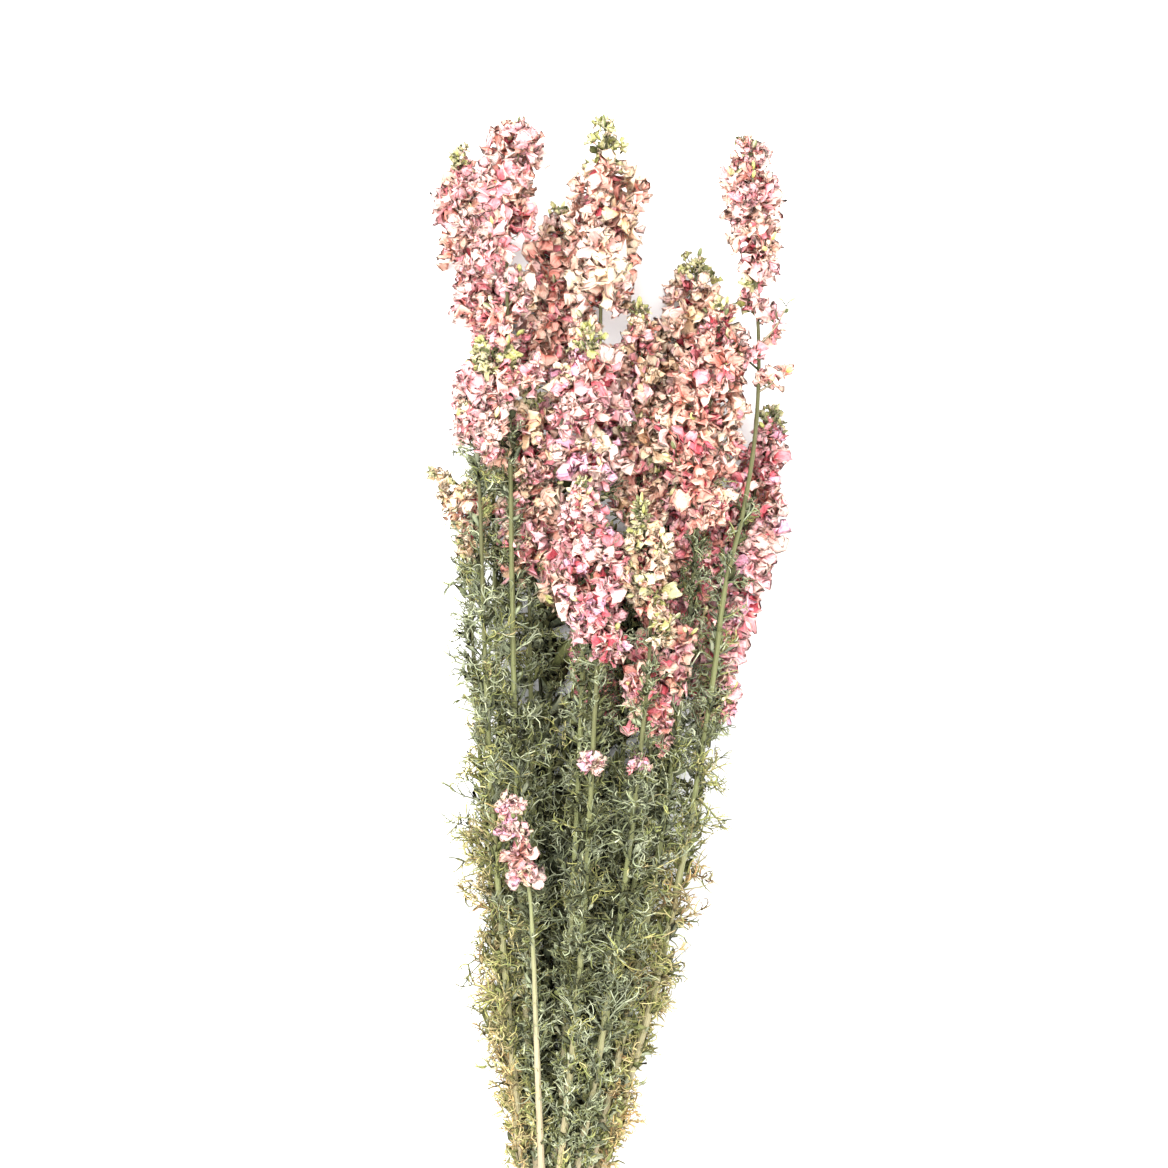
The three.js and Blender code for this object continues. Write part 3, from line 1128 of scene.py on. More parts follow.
@dataclass(frozen=True)
class Crumple:
    """How papery sheets crumple, petals and withered leaves alike. Angles are in radians.

    A pair is the middle and the spread of what chance gives, or its least and its most for point and
    waves. Ruffle and rim_noise are shares of the sheet's half width, and dents a share of its length.
    """

    curl: tuple[float, float] = (0.1, 0.75)
    hook: tuple[float, float] = (0.2, 1.15)
    roll: float = 0.4
    claw: float = 0.3
    point: tuple[float, float] = (0.05, 0.4)
    cup: tuple[float, float] = (0.6, 1.1)
    least_cup: float = 0.05
    waves: tuple[float, float] = (1.0, 3.0)
    ruffle: float = 0.72
    dents: float = 0.055
    rim_noise: float = 0.16

    def sheets(
        self,
        start: Array,
        way: Array,
        face: Array,
        length: Array,
        width: Array,
        shell: tuple[int, int],
        twist: float,
        rng: np.random.Generator,
    ) -> Array:
        """Works out crumpled sheets. The back is the front moved inwards by the thickness.

        Args:
            start: Where the sheets grow.
            way: The unit directions in which they set off.
            face: The unit directions that their fronts face.
            length: Their lengths.
            width: Their greatest widths.
            shell: How many faces they have along and across.
            twist: How far they twist, in radians.
            rng: The source of chance.

        Returns:
            The points, in the order of Net.of_shell.
        """
        count = len(start)
        rib, across, normal = self._midribs(start, way, face, length, shell[0], twist, rng)
        flat, lift = self._sections(length, width, shell, rng)
        front = rib[:, :, None] + across[:, :, None] * flat[..., None] + normal[:, :, None] * lift[..., None]
        back = front[:, 1:-1, 1:-1] - normal[:, 1:-1, None] * SHEET_THICKNESS
        return np.concatenate([front.reshape(count, -1, 3), back.reshape(count, -1, 3)], axis=1)

    def _midribs(
        self,
        start: Array,
        way: Array,
        face: Array,
        length: Array,
        long: int,
        twist: float,
        rng: np.random.Generator,
    ) -> tuple[Array, Array, Array]:
        """Bends each midrib: at a share u of its length it has turned to the face by curl u + hook u^3.

        Args:
            start: Where the sheets grow.
            way: The unit directions in which they set off.
            face: The unit directions that their fronts face.
            length: Their lengths.
            long: How many faces they have along.
            twist: How far they twist, in radians.
            rng: The source of chance.

        Returns:
            The midribs' points, and at each the unit directions across the sheet and out of its front.
        """
        count = len(start)
        u = np.linspace(0.0, 1.0, long + 1)
        curl, hook = rng.normal(*self.curl, (count, 1)), rng.normal(*self.hook, (count, 1))
        turn = curl * u + hook * u**3
        mid = 0.5 * (turn[:, 1:] + turn[:, :-1])
        step = (length / long)[:, None, None]
        ahead = np.cos(mid)[..., None] * way[:, None] + np.sin(mid)[..., None] * face[:, None]
        walked = np.cumsum(ahead * step, axis=1)
        rib = start[:, None] + np.concatenate([np.zeros((count, 1, 3)), walked], axis=1)
        front = -np.sin(turn)[..., None] * way[:, None] + np.cos(turn)[..., None] * face[:, None]
        side = np.cross(face, way)[:, None]
        roll = rng.normal(0, self.roll + twist, (count, 1)) * u
        across = np.cos(roll)[..., None] * side + np.sin(roll)[..., None] * front
        normal = np.cos(roll)[..., None] * front - np.sin(roll)[..., None] * side
        return rib, across, normal

    def _sections(
        self, length: Array, width: Array, shell: tuple[int, int], rng: np.random.Generator
    ) -> tuple[Array, Array]:
        """Works out the sheets' cross sections.

        A sheet is a claw at its base, widest past its middle and narrow at its tip. Across it is an arc
        folded by the cup angle, with waves that grow towards the rim, and every point is pushed a little
        at random.

        Args:
            length: The sheets' lengths.
            width: Their greatest widths.
            shell: How many faces they have along and across.
            rng: The source of chance.

        Returns:
            How far each point is across from the midrib and how far in front of it.
        """
        long, wide = shell
        count = len(length)
        u = np.linspace(0.0, 1.0, long + 1)
        v = np.linspace(-1.0, 1.0, wide + 1)
        point = rng.uniform(*self.point, (count, 1))
        outline = self.claw * (1 - u) + point * u + np.sin(math.pi * u**1.25) ** 0.8 * 0.8
        half = (0.5 * width[:, None] * outline)[..., None]
        cup = rng.normal(*self.cup, (count, 1, 1))
        cup = np.where(np.abs(cup) < self.least_cup, self.least_cup, cup)
        flat = half * np.sin(cup * v) / cup
        waves = rng.uniform(*self.waves, (count, 1, 1)) * math.pi
        phase = rng.uniform(0, TAU, (count, 1, 1)) + np.sign(v) * rng.uniform(0.3, 2.8, (count, 1, 1))
        ruffle = half * self.ruffle * np.abs(v) ** 1.5 * np.sin(waves * u[:, None] + phase)
        dents = rng.normal(0, 1, (count, long + 1, wide + 1)) * (length * self.dents)[:, None, None]
        grown = np.minimum(1.0, 3.0 * u)[:, None]
        lift = half * (1.0 - np.cos(cup * v)) / cup + (ruffle + dents) * grown
        return flat + rng.normal(0, 1, flat.shape) * half * self.rim_noise * grown, lift


PAPERY = Crumple()


# ---- what sets the stalks apart ----


class Tint(Enum):
    """How a spike's petals divide among the colours: a share for each."""

    PINK = {Petal.PINK: 5, Petal.BLUSH: 4, Petal.ROSE: 2, Petal.PEACH: 2, Petal.SALMON: 1}
    BRIGHT = {Petal.PINK: 5, Petal.ROSE: 3, Petal.LILAC: 2, Petal.BLUSH: 4, Petal.PEACH: 1, Petal.DEEP: 1}
    LILAC = {Petal.BLUSH: 5, Petal.LILAC: 3, Petal.PINK: 3, Petal.CREAM: 2, Petal.ROSE: 1}
    # SALMON, DULL and DEEP colour the low-lying spikes; they lean to pale colours as painted light, lifting
    # the shade that falls there.
    SALMON = {Petal.SALMON: 5, Petal.PEACH: 5, Petal.ROSE: 2, Petal.BLUSH: 3, Petal.CREAM: 1, Petal.DEEP: 1}
    PEACH = {Petal.PEACH: 5, Petal.CREAM: 4, Petal.BLUSH: 4, Petal.BEIGE: 1, Petal.SALMON: 1}
    DULL = {Petal.PEACH: 5, Petal.BEIGE: 3, Petal.CREAM: 2, Petal.SALMON: 2, Petal.PINK: 4, Petal.ROSE: 1}
    DEEP = {Petal.SALMON: 3, Petal.ROSE: 4, Petal.DEEP: 1, Petal.MAUVE: 2, Petal.PEACH: 3, Petal.PINK: 4}
    BEIGE = {Petal.BEIGE: 4, Petal.CREAM: 3, Petal.PALE_GREEN: 2, Petal.PEACH: 2, Petal.LIME: 1}
    GREEN = {Petal.LIME: 4, Petal.PALE_GREEN: 5, Petal.CREAM: 2, Petal.OLIVE: 1}
    PALE = {Petal.BLUSH: 5, Petal.PINK: 3, Petal.CREAM: 3, Petal.LILAC: 2, Petal.ROSE: 1}
    # The inner flowers: deep roses and salmons as painted shade, for older flowers that sit in shade behind
    # the rest.
    WITHERED = {Petal.SALMON: 4, Petal.DUSTY: 1, Petal.DEEP: 3, Petal.PEACH: 1, Petal.ROSE: 4}

    def columns(self, count: int, rng: np.random.Generator) -> Array:
        """Draws colours.

        Args:
            count: How many.
            rng: The source of chance.

        Returns:
            Columns of the petals' map.
        """
        shares = np.array(list(self.value.values()), dtype=float)
        return rng.choice([column_of(petal) for petal in self.value], size=count, p=shares / shares.sum())


def column_of(petal: Petal) -> int:
    """The column of a colour in the petals' map."""
    return list(Petal).index(petal)


@dataclass(frozen=True)
class Habit:
    """What sets one stalk apart: the colours of its flowers, how dense they are and how it has dried.

    Distances in shoots_below and strays are measured down the stem from the foot of the flowers.
    """

    tint: Tint
    green_tip: float = 0.06
    petal_scale: float = 1.0
    spacing: float = 3.3 * MM
    shoots: int = 2
    shoots_below: float = 24.0 * MM
    dryness: float = 0.0
    bare_from: float = 1.0
    upper_side: bool = False
    strays: tuple[float, ...] = ()
    stray_tint: Tint = Tint.PALE
    open_flower: bool = False


# ---- stems ----


@dataclass
class Stem:
    """A stalk's dry stem: a tube along the frame's stem, with faint swellings where leaves grew."""

    stalk: Stalk
    step: float = 4.0 * MM
    sides: int = 8
    knot_spacing: float = 24.0 * MM
    knot_swell: float = 0.13
    knot_sharpness: int = 12
    wander: float = 0.35 * MM
    wander_length: float = 55.0 * MM

    def build(self, finish: bpy.types.Material, rng: np.random.Generator) -> bpy.types.Object:
        """Builds the stem.

        The radius is the frame's, times 1 + swell * the cosine of the distance in knot spacings, raised
        to the sharpness. The middle wanders sideways by two slow sines.

        Args:
            finish: The stem's material.
            rng: The source of chance.

        Returns:
            The stem.
        """
        stalk = self.stalk
        rings = int((stalk.top - stalk.foot) / self.step)
        along = np.linspace(stalk.foot, stalk.top, rings)
        path = stalk.points(along)
        phase = rng.uniform(0.0, TAU, 3)
        wave = along / self.wander_length
        path[:, 0] += self.wander * np.sin(wave + phase[0])
        path[:, 2] += self.wander * np.sin(1.3 * wave + phase[1])
        knots = np.cos(along / self.knot_spacing * math.pi + phase[2]) ** self.knot_sharpness
        radius = stalk.radius(along) * (1.0 + self.knot_swell * knots)
        points = tube_points(path[None], radius[None], np.array([[1.0, 0.0, 0.0]]), self.sides)
        net = Net.of_tube(rings, self.sides)
        places = np.concatenate([net.quad_spots.reshape(-1, 2), net.tri_spots.reshape(-1, 2)])
        made = make_object(f"stem_{stalk.name}_dry", points[0], net.quads, net.tris, places, finish)
        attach(made, "root")
        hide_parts(f"stem_{stalk.name}")
        return made


# ---- leaves ----


@dataclass
class Foliage:
    """The feathery leaves of one stalk: plumes of curled threads, which dried into a woolly sleeve."""

    stalk: Stalk
    sleeve: Sleeve
    outline: Outline
    habit: Habit
    tuft_spacing: float = 8.4 * MM
    leaves_per_tuft: int = 3
    knots: int = 4
    thread_radius: float = 0.56 * MM
    spread: float = 1.35
    beyond: float = 60.0 * MM
    bare_tip: float = 30.0 * MM
    straggling_share: float = 0.1
    upright_share: float = 0.3
    steep_share: float = 0.35
    base_length: float = 5.0 * MM
    hidden_breadth: float = 1.5

    def build(self, finish: bpy.types.Material, rng: np.random.Generator) -> bpy.types.Object:
        """Builds all of the stalk's leaves as one piece.

        Args:
            finish: The leaves' material.
            rng: The source of chance.

        Returns:
            The leaves.
        """
        heap = Heap(LEAF_ATLAS)
        low, high = self.sleeve.along[0], self.sleeve.along[-1]
        tufts = int((high - low) / self.tuft_spacing)
        count = tufts * self.leaves_per_tuft
        share = np.repeat(np.linspace(0.0, 1.0, tufts), self.leaves_per_tuft) ** 1.1
        along = low + (high - low) * share + rng.normal(0, 4 * MM, count)
        straggler = rng.random(count) < self.straggling_share
        highest = min(high + self.beyond, self.stalk.top - self.bare_tip)
        along = np.where(straggler, high + (highest - high) * rng.random(count) ** 1.5, along)
        along = np.clip(along, low - 4 * MM, None)
        upright = rng.random(count) < self.upright_share
        turn = np.where(upright, rng.normal(0.5 * math.pi, 0.6, count), rng.uniform(0, TAU, count))
        bare = (share >= self.habit.bare_from) & (np.sin(turn) > -0.1)
        turn = np.where(bare, -turn, turn)
        reach = self.sleeve.at(along, turn) * (1.0 - 0.3 * ease(share, 0.6, 1.0))
        out = sideways(turn)
        stem = self.stalk.tangents(along)
        side = unit(np.cross(out, stem))
        steep = rng.random((count, 1)) < self.steep_share
        start = self.stalk.points(along) + out * self.stalk.radius(along)[:, None] * 0.8
        pressed = 1.0 - ease(self.outline.share(start), 0.1, 0.32)[:, None]
        lean = np.where(steep, 2.4, 0.7) + 1.6 * pressed + rng.normal(0, 0.6, (count, 1))
        heading = unit(out + stem * lean + side * rng.normal(0, 0.5, (count, 1)))
        length = (self.spread * reach + self.base_length) * rng.uniform(0.65, 1.25, count)
        tone = self._tones(start, rng)
        self._plumes(heap, start, heading, length, tone, rng)
        # Low down and inside the bunch the dark withered leaves grow broader, so that their painted shade
        # fills the gaps there.
        low_down = 1.0 - ease(start[:, 2], 18 * MM, 50 * MM)
        hidden = low_down * (1.0 - ease(self.outline.aside(start), 0.4, 0.75))
        broad = 1.0 + self.hidden_breadth * hidden
        self._withered_leaves(heap, start, unit(stem + 0.5 * out), out, broad, tone, rng)
        made = heap.piece(f"leaves_{self.stalk.name}_dry", finish, 0.8 * MM)
        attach(made, "root")
        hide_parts(f"leaves_{self.stalk.name}")
        return made

    def _plumes(
        self,
        heap: Heap,
        start: Array,
        heading: Array,
        length: Array,
        tone: Array,
        rng: np.random.Generator,
    ) -> None:
        """Adds a plume for each leaf: a midrib, a pair of threads at each knot, and a fork on each thread.

        Args:
            heap: Where the threads go.
            start: Where the leaves grow.
            heading: The unit directions in which they set off.
            length: The midribs' lengths.
            tone: Each leaf's colour, as a number of columns.
            rng: The source of chance.
        """
        count = len(start)
        towards = across_of(heading, rng)
        square = np.cross(heading, towards)
        curl, hook = rng.normal(0, 1.0, count), rng.normal(0, 1.8, count)
        ribs = curled_paths(start, heading, towards, length, curl, hook, self.knots)
        self._threads(heap, ribs, square, 1.2, 0.6, tone, rng)
        each = np.repeat(np.arange(count), 2 * self.knots)
        knot = np.tile(np.repeat(np.arange(1, self.knots + 1), 2), count)
        hand = np.tile([1.0, -1.0], count * self.knots)
        onward = unit(ribs[each, knot] - ribs[each, knot - 1])
        spread = rng.normal(0.95, 0.3, len(each)) * np.where(knot == self.knots, 0.5, 1.0)
        aside = np.cross(square[each], onward) * hand[:, None]
        way = onward * np.cos(spread)[:, None] + aside * np.sin(spread)[:, None]
        way = unit(way + square[each] * rng.normal(0, 0.45, (len(each), 1)))
        shorter = 0.66 - 0.07 * knot
        thread = length[each] * shorter * rng.uniform(0.7, 1.5, len(each))
        back = self._bend_side(way, onward, rng)
        curl, hook = rng.normal(1.5, 1.2, len(each)), rng.normal(1.4, 1.5, len(each))
        paths = curled_paths(ribs[each, knot], way, back, thread, curl, hook, 5)
        self._threads(heap, paths, np.cross(way, back), 0.95, 0.45, tone[each], rng)
        self._forks(heap, paths, thread, tone[each], rng)

    def _forks(self, heap: Heap, paths: Array, thread: Array, tone: Array, rng: np.random.Generator) -> None:
        """Adds a fork to each thread, from one of its first three corners.

        Args:
            heap: Where the forks go.
            paths: The threads' paths.
            thread: The threads' lengths.
            tone: Each thread's colour, as a number of columns.
            rng: The source of chance.
        """
        count = len(paths)
        knee = rng.integers(0, 3, count)
        rows = np.arange(count)
        origin, after = paths[rows, knee], paths[rows, knee + 1]
        onward = unit(after - origin)
        way = unit(onward + across_of(onward, rng) * rng.uniform(0.6, 1.2, (count, 1)))
        back = self._bend_side(way, onward, rng)
        curl, hook = rng.normal(1.2, 1.0, count), rng.normal(1.0, 1.2, count)
        length = thread * rng.uniform(0.45, 0.85, count)
        forks = curled_paths(origin, way, back, length, curl, hook, 3)
        self._threads(heap, forks, np.cross(way, back), 0.75, 0.4, tone, rng)

    @staticmethod
    def _withered_leaves(
        heap: Heap,
        start: Array,
        way: Array,
        out: Array,
        broad: Array,
        tone: Array,
        rng: np.random.Generator,
    ) -> None:
        """Adds broad withered leaf bases, which hug the stem under the plumes, darker there as painted shade.

        Args:
            heap: Where they go.
            start: Where they grow.
            way: The unit directions in which they set off.
            out: The unit directions away from the stem.
            broad: How large each one is beside the usual size.
            tone: Each one's colour, as a number of columns.
            rng: The source of chance.
        """
        count = len(start)
        side = unit(np.cross(out, way))
        way = unit(way + side * rng.normal(0, 0.5, (count, 1)))
        face = square_to(out, way)
        length = broad * rng.uniform(9, 17, count) * MM
        width = broad * rng.uniform(2.6, 4.8, count) * MM
        points = PAPERY.sheets(start, way, face, length, width, (3, 2), 0.8, rng)
        # Darker columns, and rows from only the three darkest of four: painted shade under the plumes.
        column = np.rint(np.clip(0.85 * tone - 0.7, 0, len(Leaf) - 1)).astype(int)
        heap.add(points, Net.of_shell(3, 2), column, rng.integers(0, 3, count))

    @staticmethod
    def _bend_side(way: Array, onward: Array, rng: np.random.Generator) -> Array:
        """Towards which side each thread curls: roughly back to the direction that its plume runs in.

        Args:
            way: The unit directions in which the threads set off.
            onward: The unit directions that their plumes run in.
            rng: The source of chance.

        Returns:
            Unit directions square to the threads.
        """
        return square_to(onward + 0.8 * across_of(way, rng), way)

    def _threads(
        self,
        heap: Heap,
        paths: Array,
        flat: Array,
        thick: float,
        thin: float,
        tone: Array,
        rng: np.random.Generator,
    ) -> None:
        """Adds threads with three sides that taper evenly.

        Args:
            heap: Where they go.
            paths: Their paths.
            flat: A direction square to each path's plane.
            thick: The share of the thread radius at the start.
            thin: The share at the end.
            tone: Each thread's colour, as a number of columns.
            rng: The source of chance.
        """
        rings = paths.shape[1]
        pressed = 1.0 - ease(paths[:, :1, 2], 8 * MM, 55 * MM)
        size = self.thread_radius * rng.uniform(0.7, 1.3, (len(paths), 1)) * (1.0 + 0.55 * pressed)
        radius = size * np.linspace(thick, thin, rings)[None]
        column = np.rint(np.clip(tone + rng.normal(0, 0.8, len(tone)), 0, len(Leaf) - 1)).astype(int)
        pale = 1.5 * (1.0 - ease(self.outline.share(paths[:, 0]), 0.08, 0.26))
        row = (pale + (LEAF_ATLAS.rows - pale) * rng.random(len(paths)) ** 1.25).astype(int)
        heap.add_tubes(paths, radius, unit(flat), 3, column, row)

    def _tones(self, start: Array, rng: np.random.Generator) -> Array:
        """How dry each leaf is, which grows towards the bunch's sides and its tied end.

        Args:
            start: Where the leaves grow.
            rng: The source of chance.

        Returns:
            Columns of the leaves' map, not rounded.
        """
        along, aside = self.outline.share(start), self.outline.aside(start)
        dryness = self.habit.dryness
        patch = np.sin(start[:, 0] * 90.0 + 4.0 * along) * np.sin(start[:, 1] * 60.0 + dryness * 9.0)
        at_edge = ease(aside, 0.45, 1.0) * (1.2 + 2.6 * (1 - ease(along, 0.32, 0.55)))
        dry = 2.5 + at_edge + 1.1 * (1 - ease(along, 0.12, 0.42))
        return dry + 1.3 * patch + dryness + rng.normal(0, 1.1, len(start))


# ---- flowers ----


@dataclass(frozen=True)
class Whorl:
    """One ring of petals in a flower: how many, how far they lean from its axis, their size and faces."""

    petals: int
    lean: float
    length: float
    width: float
    shell: tuple[int, int]
    twist: float = 0.0


FLOWER_WHORLS = (
    Whorl(petals=5, lean=1.4, length=15.2 * MM, width=10.8 * MM, shell=(5, 4)),
    Whorl(petals=5, lean=0.95, length=13.6 * MM, width=8.0 * MM, shell=(4, 2), twist=0.7),
    Whorl(petals=3, lean=0.5, length=9.6 * MM, width=6.0 * MM, shell=(3, 2), twist=0.5),
)
WITHERED_WHORL = Whorl(petals=4, lean=1.2, length=13.0 * MM, width=9.0 * MM, shell=(3, 2), twist=0.6)


@dataclass
class Flowers:
    """Where a stalk's flowers are, as arrays with one row for each flower."""

    foot: Array
    heart: Array
    axis: Array
    up: Array
    scale: Array
    green: Array

    def __len__(self) -> int:
        """How many there are."""
        return len(self.heart)

    def and_more(self, more: Flowers) -> Flowers:
        """These flowers and others.

        Args:
            more: The others.

        Returns:
            All of them.
        """
        names = [each.name for each in fields(self)]
        return Flowers(*(np.concatenate([getattr(self, name), getattr(more, name)]) for name in names))


@dataclass
class FlowerSpike:
    """One stalk's flowers: crumpled papery flowers in a spiral, buds at the tip, and thin side shoots."""

    stalk: Stalk
    sleeve: Sleeve
    tip: float
    habit: Habit
    shoot_length: float = 26.0 * MM
    shoot_radius: float = 0.75 * MM
    shoot_flowers: float = 0.8
    shoot_green: float = 0.08
    odd_petals: float = 0.2
    fade_from: float = 0.64
    lump_length: float = 27.0 * MM
    lump_height: float = 0.16
    tip_buds: int = 9
    in_cluster: int = 3
    cluster_distance: float = 9.0 * MM
    open_scale: float = 1.35
    open_above: float = 14.0 * MM
    inner_share: float = 0.4
    stalk_radius: float = 0.42 * MM
    bract_radius: float = 0.6 * MM
    heart_radius: float = 1.1 * MM
    spur_radius: float = 1.0 * MM
    bud_stalk_radius: float = 0.4 * MM
    bud_radius: float = 1.6 * MM

    def build(self, finish: bpy.types.Material, rng: np.random.Generator) -> bpy.types.Object:
        """Builds the spike as one piece.

        Args:
            finish: The petals' material.
            rng: The source of chance.

        Returns:
            The flowers.
        """
        heap = Heap(PETAL_ATLAS)
        flowers = self._spiral(rng)
        # The inner flowers take the deep tint that is painted shade behind the flowers that show.
        self._petals(heap, WITHERED_WHORL, self._inner(flowers), Tint.WITHERED, rng)
        if self.habit.shoots:
            flowers = flowers.and_more(self._side_shoots(heap, rng))
        self._whole_flowers(heap, flowers, self.habit.tint, rng)
        if self.habit.strays:
            self._whole_flowers(heap, self._stray_clusters(rng), self.habit.stray_tint, rng)
        if self.habit.open_flower:
            self._whole_flowers(heap, self._one_open_flower(), Tint.PEACH, rng)
        share = np.linspace(0.0, 1.0, self.tip_buds)
        out = sideways(np.arange(self.tip_buds) * GOLDEN_TURN)
        stem = self.stalk.tangents(np.full(self.tip_buds, self.stalk.top - 4 * MM))
        heading = unit(out * (1.0 - 0.7 * share)[:, None] + stem * (0.5 + share)[:, None])
        self._buds(heap, self.stalk.points(self.stalk.top - 12 * MM * (1 - share)), heading, rng)
        made = heap.piece(f"flowers_{self.stalk.name}_dry", finish, 0.6 * MM)
        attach(made, "root")
        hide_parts(f"flowers_{self.stalk.name}")
        return made

    def _spiral(self, rng: np.random.Generator) -> Flowers:
        """Places flowers round the stem, each a golden turn on from the one below, smaller near the tip.

        Args:
            rng: The source of chance.

        Returns:
            The flowers.
        """
        base = self.sleeve.along[0]
        count = max(1, int((self.tip - base) / self.habit.spacing))
        share = (np.arange(count) + 0.5) / count
        along = base + (self.tip - base) * (1.06 * share - 0.06) + rng.normal(0, 1.4 * MM, count)
        turn = (np.arange(count) * GOLDEN_TURN + rng.normal(0, 0.35, count)) % TAU
        if self.habit.upper_side:
            turn = rng.normal(0.5 * math.pi, 0.5, count)
        fade = ease(share, self.fade_from, 1.0)
        green = share > 1.0 - self.habit.green_tip
        scale = self.habit.petal_scale * (1.0 - 0.45 * fade) * rng.uniform(0.8, 1.2, count)
        scale = np.where(green, 0.75 * scale, scale)
        wave = along * TAU / self.lump_length + 2.0 * turn + rng.uniform(0, TAU)
        lumps = 1.0 + self.lump_height * np.sin(wave)
        reach = self.sleeve.at(along, turn) * lumps * (1.0 - 0.5 * fade)
        out = sideways(turn)
        stem = self.stalk.tangents(np.minimum(along, self.stalk.top - 2 * MM))
        climb = 0.3 + 0.9 * fade + rng.normal(0, 0.25, count)
        axis = unit(out * np.cos(climb)[:, None] + stem * np.sin(climb)[:, None])
        axis = unit(axis + across_of(axis, rng) * rng.uniform(0, 0.5, (count, 1)))
        distance = np.maximum(1.15 * reach - 3.0 * MM * scale, 2.4 * MM) * rng.uniform(0.55, 1.2, count)
        foot = self.stalk.points(np.clip(along - distance * 0.5, base - 8 * MM, self.stalk.top))
        heart = self.stalk.points(along) + out * distance[:, None]
        return Flowers(foot, heart, axis, stem, scale, green)

    def _inner(self, flowers: Flowers) -> Flowers:
        """The older flowers behind those that show, close to the stem and turned sideways.

        Args:
            flowers: The flowers that show.

        Returns:
            Flowers nearer to the stem.
        """
        heart = flowers.foot + (flowers.heart - flowers.foot) * self.inner_share
        axis = unit(flowers.up + 0.3 * flowers.axis)
        return Flowers(flowers.foot, heart, axis, flowers.axis, flowers.scale, flowers.green)

    def _stray_clusters(self, rng: np.random.Generator) -> Flowers:
        """Small clusters of flowers on the upper side of the stem, below the spike.

        Args:
            rng: The source of chance.

        Returns:
            The flowers.
        """
        below = np.repeat(np.array(self.habit.strays), self.in_cluster)
        count = len(below)
        along = self.sleeve.along[0] - below + rng.normal(0, 2 * MM, count)
        stem = self.stalk.tangents(along)
        turn = 0.5 * math.pi + np.tile(np.linspace(-0.75, 0.75, self.in_cluster), len(self.habit.strays))
        out = sideways(turn)
        foot = self.stalk.points(along)
        scale = np.repeat(rng.uniform(0.5, 0.85, len(self.habit.strays)), self.in_cluster)
        heart = foot + out * (self.cluster_distance * scale)[:, None]
        return Flowers(foot, heart, unit(out + 0.3 * stem), stem, scale, np.zeros(count, bool))

    def _one_open_flower(self) -> Flowers:
        """One large open flower at the foot of the spike, on its upper side."""
        along = self.sleeve.along[:1] + self.open_above
        foot = self.stalk.points(along)
        out = np.array([[0.1, 0.0, 1.0]])
        heart = foot + out * (self.sleeve.at(along, np.array([0.5 * math.pi]))[0] + 4 * MM)
        scale, green = np.array([self.open_scale]), np.zeros(1, bool)
        return Flowers(foot, heart, unit(out), self.stalk.tangents(along), scale, green)

    def _side_shoots(self, heap: Heap, rng: np.random.Generator) -> Flowers:
        """Adds thin curved shoots that leave the stem below the spike and in it, with buds at their ends.

        Args:
            heap: Where the shoots and their buds go.
            rng: The source of chance.

        Returns:
            The flowers that they bear.
        """
        count = self.habit.shoots
        base = self.sleeve.along[0]
        lowest, highest = base - self.habit.shoots_below, 0.6 * base + 0.4 * self.tip
        along = np.linspace(lowest, highest, count) + rng.normal(0, 3 * MM, count)
        turn = np.arange(count) * math.pi * 0.9 + rng.normal(0.2, 0.5, count)
        out = np.stack([np.cos(turn), np.zeros(count), 0.4 + 0.6 * np.sin(turn)], axis=-1)
        stem = self.stalk.tangents(along)
        heading = unit(out + stem * rng.uniform(0.4, 1.2, (count, 1)))
        length = self.shoot_length * rng.uniform(0.65, 1.25, count)
        towards = square_to(stem, heading)
        start = self.stalk.points(along)
        paths = curled_paths(start, heading, towards, length, rng.normal(0.5, 0.3, count), 0 * length, 6)
        flat = np.cross(heading, towards)
        radius = self.shoot_radius * np.linspace(1.2, 0.6, 7)
        row = rng.integers(0, PETAL_ATLAS.rows, count)
        heap.add_tubes(paths, radius, flat, 5, column_of(Petal.OLIVE), row)
        knots = np.array([2, 3, 4, 5, 6])
        each = np.repeat(np.arange(count), len(knots))
        knot = np.tile(knots, count)
        onward = unit(paths[each, knot] - paths[each, knot - 1])
        heart = paths[each, knot] + across_of(onward, rng) * 3.5 * MM
        axis = unit(onward * 0.6 + unit(heart - paths[each, knot]))
        scale = self.habit.petal_scale * rng.uniform(0.6, 1.0, len(each))
        kept = rng.random(len(each)) < self.shoot_flowers
        self._buds(heap, paths[each, knot][~kept], axis[~kept], rng)
        self._buds(heap, paths[:, -1], unit(paths[:, -1] - paths[:, -2]), rng)
        green = rng.random(len(each)) < self.shoot_green
        parts = (paths[each, knot], heart, axis, onward, scale, green)
        return Flowers(*(part[kept] for part in parts))

    def _whole_flowers(self, heap: Heap, flowers: Flowers, tint: Tint, rng: np.random.Generator) -> None:
        """Adds flowers with their stalks, petals, hearts and spurs.

        Args:
            heap: Where they go.
            flowers: The flowers.
            tint: Their colours.
            rng: The source of chance.
        """
        self._flower_stalks(heap, flowers, rng)
        for whorl in FLOWER_WHORLS:
            self._petals(heap, whorl, flowers, tint, rng)
        self._hearts(heap, flowers, tint, rng)

